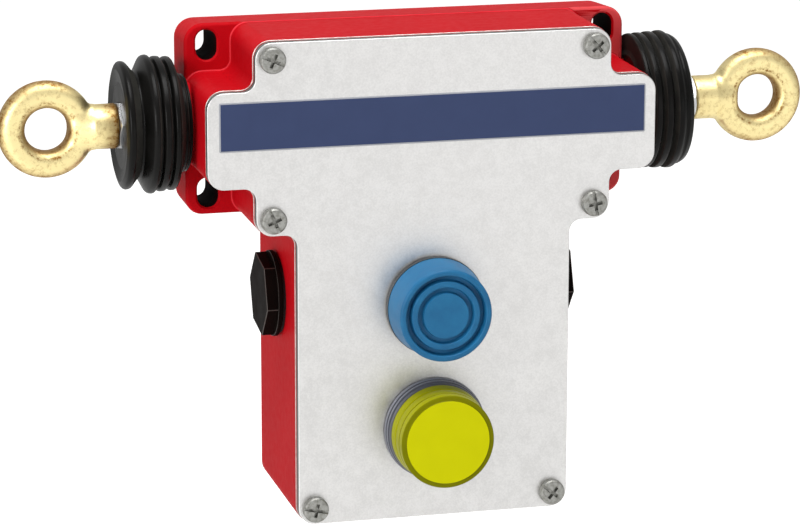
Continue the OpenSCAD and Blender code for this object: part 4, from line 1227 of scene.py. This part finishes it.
def eye_distance(p):
    """Distance in millimetres from the forged surface: negative inside."""
    toward_body = EYE_X - np.abs(p[:, 0])
    out, up = p[:, 1] - AXIS_Y, p[:, 2]
    from_centre = np.hypot(toward_body, up)
    whole = soft_union(ring_distance(from_centre, out),
                       neck_distance(np.hypot(out, up), toward_body), WEB_FILLET)
    return -soft_union(-whole, from_centre - EYE_HOLE + HOLE_WEAR, HOLE_FILLET)


print("eye centre", round(EYE_X, 2), "mm, neck from", round(NECK_END, 2), "mm")

# %% [markdown]
# The CAD solid has the true ring, web and neck. A fine remesh makes one even skin over it, and
# smoothing rounds the thread. Then every point of the skin outside the rubber slides along the
# slope of the distance, in small moves, until it lies on the forged form.

# %% Eye nuts
EYE_VOXEL, SLIDES, STEP, LARGEST_MOVE, LEAST_SLOPE = 0.45 * MM, 12, 0.05, 0.5, 0.3


def even_skin(node):
    """A copy of the CAD eye under one even skin."""
    eye = copy_of(node, "forged_" + node)
    remesh = eye.modifiers.new("forging", "REMESH")
    remesh.mode = "VOXEL"
    remesh.voxel_size = EYE_VOXEL
    soften = eye.modifiers.new("soften", "SMOOTH")
    soften.factor, soften.iterations = 0.5, 12
    return apply_modifiers(eye)


def forged_eye(node):
    """The even skin, slid onto the forged form outside the rubber."""
    eye = even_skin(node)
    points = np.empty(3 * len(eye.data.vertices))
    eye.data.vertices.foreach_get("co", points)
    points = points.reshape(-1, 3) / MM
    forged = np.abs(points[:, 0]) > NECK_END - 0.3
    for _ in range(SLIDES):
        here = eye_distance(points)
        slope = np.stack([
            (eye_distance(points + step) - eye_distance(points - step)) / (2 * STEP)
            for step in STEP * np.eye(3)], axis=1)
        steep = np.maximum((slope ** 2).sum(axis=1), LEAST_SLOPE)
        move = np.clip(here / steep, -LARGEST_MOVE, LARGEST_MOVE)[:, None] * slope
        points[forged] -= move[forged]
    eye.data.vertices.foreach_set("co", (points * MM).ravel())
    eye.data.update()
    eye.data.shade_smooth()
    return piece_of(eye, node, finishes["eye_yellow_zinc"])


for node in ("eye_nut_left", "eye_nut_right"):
    eye = forged_eye(node)
    print(eye.name, len(eye.data.polygons), "faces")

# %% [markdown]
# ## The reset button's boot
#
# A blue silicone boot covers the button and keeps water out of the panel bore. It is one
# moulding: a slightly flared skirt and a face with a rim, a deep groove, a ridge and a flat
# disc. The skirt stays on the bezel while the face travels with the button. The CAD skirt and
# cap are two nodes, since a rigid solid can't fold; here one skin takes the place of both.

# %% Boot
RESET_Z, PILOT_Z = -57.2, -98.5
Y_BOOT, Y_CAP = [corner.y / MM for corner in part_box("reset_boot_cap")]
Y_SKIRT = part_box("reset_boot_skirt")[1].y / MM


def silicone_boot():
    """Disc, groove, ridge, deep groove and rim, then the skirt, its inside and the cap's back."""
    corners = [
        (7.4, Y_BOOT + 0.35, 0.2), (7.6, Y_BOOT + 2.4, 0.3), (9.1, Y_BOOT + 2.4, 0.3),
        (9.4, Y_BOOT + 0.45, 0.3), (11.3, Y_BOOT + 0.45, 0.3), (11.5, Y_BOOT + 3.0, 0.35),
        (13.0, Y_BOOT + 3.0, 0.35), (13.3, Y_BOOT, 0.4), (15.2, Y_BOOT, 1.0),
        (15.45, Y_CAP, 0.5), (16.15, Y_SKIRT, 0.2),
        (14.3, Y_SKIRT, 0.2), (14.0, Y_CAP, 0.3), (14.0, Y_BOOT + 4.0, 0.3),
        (10.4, Y_BOOT + 4.0, 0.2), (9.6, Y_BOOT + 3, 0.2),
    ]
    middle = [(p.x, p.y) for p in round_corners(corners, closed=False, steps=5)]
    profile = [(0, Y_BOOT + 0.35)] + middle + [(0, Y_BOOT + 3)]
    return spun("silicone_boot", profile, (0, 0, RESET_Z), steps=112, smooth_angle=50)


boot = silicone_boot()
paint(boot, finishes["boot_silicone"])
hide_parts("reset_boot_skirt", "reset_boot_cap")
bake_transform(boot)
print("boot from y", round(Y_BOOT, 2), "to", round(Y_SKIRT, 2), "mm")

# %% [markdown]
# ## The pilot light
#
# The lamp's barrel is moulded with three ribs, each wider than the one in front of it. The
# crests of the wider two get a paler plastic, a painted highlight. The profile is spun, so the
# ribs are only corners in it, and the paler faces are found by their distance from the lamp's
# axis.

# %% Barrel
Y_LENS, Y_LENS_BACK = [corner.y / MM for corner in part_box("pilot_lens")]
Y_PLATE, Y_BARREL_BACK = plate_low.y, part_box("pilot_barrel")[1].y / MM
RIB_CREST = 16.55


def from_lamp_axis(face):
    return np.hypot(face.center.x / MM, face.center.z / MM - PILOT_Z)


def lamp_barrel():
    profile = round_corners([
        (16.1, Y_LENS_BACK + 0.05, 0.25), (16.35, -60.6, 0.25), (15.7, -60.3, 0.15),
        (15.7, -59.9, 0.15), (16.6, -59.7, 0.25), (16.7, -58.7, 0.25), (15.9, -58.4, 0.15),
        (15.9, -58.0, 0.15), (16.9, -57.8, 0.25), (17.0, Y_PLATE - 0.6, 0.1),
        (11.0, Y_PLATE - 0.6, 0), (11.0, Y_BARREL_BACK, 0.2), (9.2, Y_BARREL_BACK, 0.1),
        (9.2, Y_LENS_BACK + 0.05, 0.1),
    ], steps=4)
    return spun("lamp_barrel", [(p.x, p.y) for p in profile], (0, 0, PILOT_Z), steps=112)


barrel = piece_of(lamp_barrel(), "pilot_barrel", finishes["head_black"])
# The paler plastic on the crests of the ribs is a painted highlight.
barrel.data.materials.append(moulded_plastic("painted_rib_highlight", "#686a73", "#7a7c85", 0.3, 0.4))
for face in barrel.data.polygons:
    if from_lamp_axis(face) > RIB_CREST:
        face.material_index = 1
print("barrel:", len(barrel.data.polygons), "faces")

# %% [markdown]
# A yellow lens snaps over the end of the barrel. It is a cup with two fine grooves round its
# wall and a flat face. The face, the wall and the outer rim each get their own shade of yellow.
# The grooves and the back edge get the rim's dark yellow as painted shade.

# %% Lens
def lamp_lens():
    """A flat face, a wall with two grooves, a foot, and the hollow behind them."""
    outside = round_corners([
        (13.75, Y_LENS, 0.15), (13.95, Y_LENS + 0.3, 0.1), (15.4, Y_LENS + 0.35, 0.35),
        (15.45, Y_LENS + 3.4, 0.1), (15.25, Y_LENS + 3.6, 0.1), (15.25, Y_LENS + 3.9, 0.1),
        (15.5, Y_LENS + 4.1, 0.1), (15.55, Y_LENS + 7.6, 0.1), (15.3, Y_LENS + 7.8, 0.1),
        (15.3, Y_LENS + 8.2, 0.1), (15.65, Y_LENS + 8.4, 0.1), (15.95, Y_LENS_BACK - 0.4, 0.2),
        (15.95, Y_LENS_BACK, 0.2), (13.6, Y_LENS_BACK, 0.2), (13.6, Y_LENS + 1.9, 0.4),
    ], closed=False, steps=4)
    profile = [(0, Y_LENS)] + [(p.x, p.y) for p in outside] + [(0, Y_LENS + 1.9)]
    return spun("lamp_lens", profile, (0, 0, PILOT_Z), steps=112)


lens = piece_of(lamp_lens(), "pilot_lens", finishes["lens_yellow"])
# The dark rim yellow also goes to the grooves and the back edge of the wall: painted shade.
lens.data.materials.append(tinted_polycarbonate("lens_rim_and_groove_shade", "#6c6c00", "#7f7f01", 0.3))
lens.data.materials.append(tinted_polycarbonate("lens_wall", "#949400", "#a1a101", 0.3))
for face in lens.data.polygons:
    radius, depth = from_lamp_axis(face), face.center.y / MM - Y_LENS
    in_groove = radius < 15.4 and (3.4 < depth < 4.1 or 7.6 < depth < 8.4)
    if radius > 13.8 and (depth < 0.75 or in_groove or depth > 11.5):
        face.material_index = 1
    elif radius > 15.1:
        face.material_index = 2
print("lens:", len(lens.data.polygons), "faces")

# %% [markdown]
# ## Floor, light and background
#
# Three large soft lamps make the faces read against each other: one overhead lights the tops
# of the casting and the folds, one on the left lights the sides, and a weak one in front
# fills the shadows.

# %% Lamps
def soft_lamp(name, place, target, width, height, power):
    data = bpy.data.lights.new(name, "AREA")
    data.shape = "RECTANGLE"
    data.size, data.size_y = width, height
    data.energy = power
    lamp = bpy.data.objects.new(name, data)
    lamp.location = place
    lamp.rotation_euler = (Vector(target) - Vector(place)).to_track_quat("-Z", "Y").to_euler()
    bpy.context.collection.objects.link(lamp)
    return lamp


MIDDLE = (0, -0.03, -0.05)
soft_lamp("weak_front", (0.9, -2.3, 0.1), MIDDLE, 0.9, 0.9, 3)
soft_lamp("overhead", (0.0, -0.35, 1.6), MIDDLE, 1.2, 1.0, 28)
soft_lamp("left", (-1.8, -1.4, 0.5), MIDDLE, 1.0, 1.0, 28)

# %% [markdown]
# A pale floor takes the soft shadow. The white surroundings come from the floor and the world,
# not from more light on the object. The floor shines only for a ray that comes straight from
# the camera, through something clear, or by a mirror reflection in front of the object. There
# its light grows weaker toward one spot, as if a round grey card lay on it, and that keeps the
# reflection in the satin plate from burning out toward the foot.

# %% Floor
FLOOR_LIFT, CARD_SHADE = 0.69, 0.2
CARD_MIDDLE, CARD_RADIUS = (0.15, -0.55, 0), 0.8


def floor_light(tree, place):
    """How strongly the floor shines: not at all for most rays, and weakly under the card."""
    rays = tree.nodes.new("ShaderNodeLightPath").outputs
    depth = add_node(tree, "SeparateXYZ", "Y", {0: place})
    in_front = ramp(tree, depth, (-0.1, 0.3), (1.0, 0.0))
    mirrored_part = combine(tree, "MULTIPLY", rays["Is Glossy Ray"], in_front)
    seen = combine(tree, "MAXIMUM", rays["Is Camera Ray"], mirrored_part)
    seen = combine(tree, "MAXIMUM", seen, rays["Is Transmission Ray"])
    from_card = add_node(tree, "VectorMath", 0, {0: place, 1: CARD_MIDDLE},
                         operation="SUBTRACT")
    from_card = add_node(tree, "VectorMath", 0, {0: from_card, "Scale": 1 / CARD_RADIUS},
                         operation="SCALE")
    card = add_node(tree, "TexGradient", "Fac", {"Vector": from_card},
                    gradient_type="SPHERICAL")
    light = ramp(tree, card, to=(FLOOR_LIFT, CARD_SHADE * FLOOR_LIFT))
    return combine(tree, "MULTIPLY", seen, light)


def pale_floor():
    material, tree, shader, place = start_material("pale_floor", Roughness=0.9)
    cloud = noise(tree, place, 60, 2)
    colour = mix_colours(tree, cloud, "#e6e6e4", "#eaeae9")
    tree.links.new(colour, shader.inputs["Base Color"])
    tree.links.new(floor_light(tree, place), shader.inputs["Emission Strength"])
    shader.inputs["Emission Color"].default_value = (1, 1, 1, 1)
    return material


FLOOR_Z, FLOOR_HALF = -0.30, 6.0
corners = [(x * FLOOR_HALF, y * FLOOR_HALF, 0) for x, y in ((-1, -1), (1, -1), (1, 1), (-1, 1))]
floor_mesh = bpy.data.meshes.new("floor")
floor_mesh.from_pydata(corners, [], [(0, 1, 2, 3)])
floor = bpy.data.objects.new("floor", floor_mesh)
floor.location.z = FLOOR_Z
bpy.context.collection.objects.link(floor)
paint(floor, pale_floor())
print("floor", 2 * FLOOR_HALF, "m wide at z", FLOOR_Z, "m")

# %% [markdown]
# The world is dim for the light it casts and brighter for the rays that look at it, so metal
# and gloss reflect a pale room while the lamps still shape the object.

# %% World
WORLD_LIGHT, WORLD_SEEN = 0.25, 0.65
world = bpy.data.worlds.new("studio")
world.use_nodes = True
tree = world.node_tree
background = tree.nodes["Background"]
background.inputs["Color"].default_value = (1, 1, 1, 1)
rays = tree.nodes.new("ShaderNodeLightPath").outputs
seen = combine(tree, "MAXIMUM", rays["Is Camera Ray"], rays["Is Glossy Ray"])
strength = ramp(tree, seen, to=(WORLD_LIGHT, WORLD_SEEN))
tree.links.new(strength, background.inputs["Strength"])
bpy.context.scene.world = world
bpy.context.scene.view_settings.view_transform = "Standard"
print("world lights at", WORLD_LIGHT, "and is seen at", WORLD_SEEN)
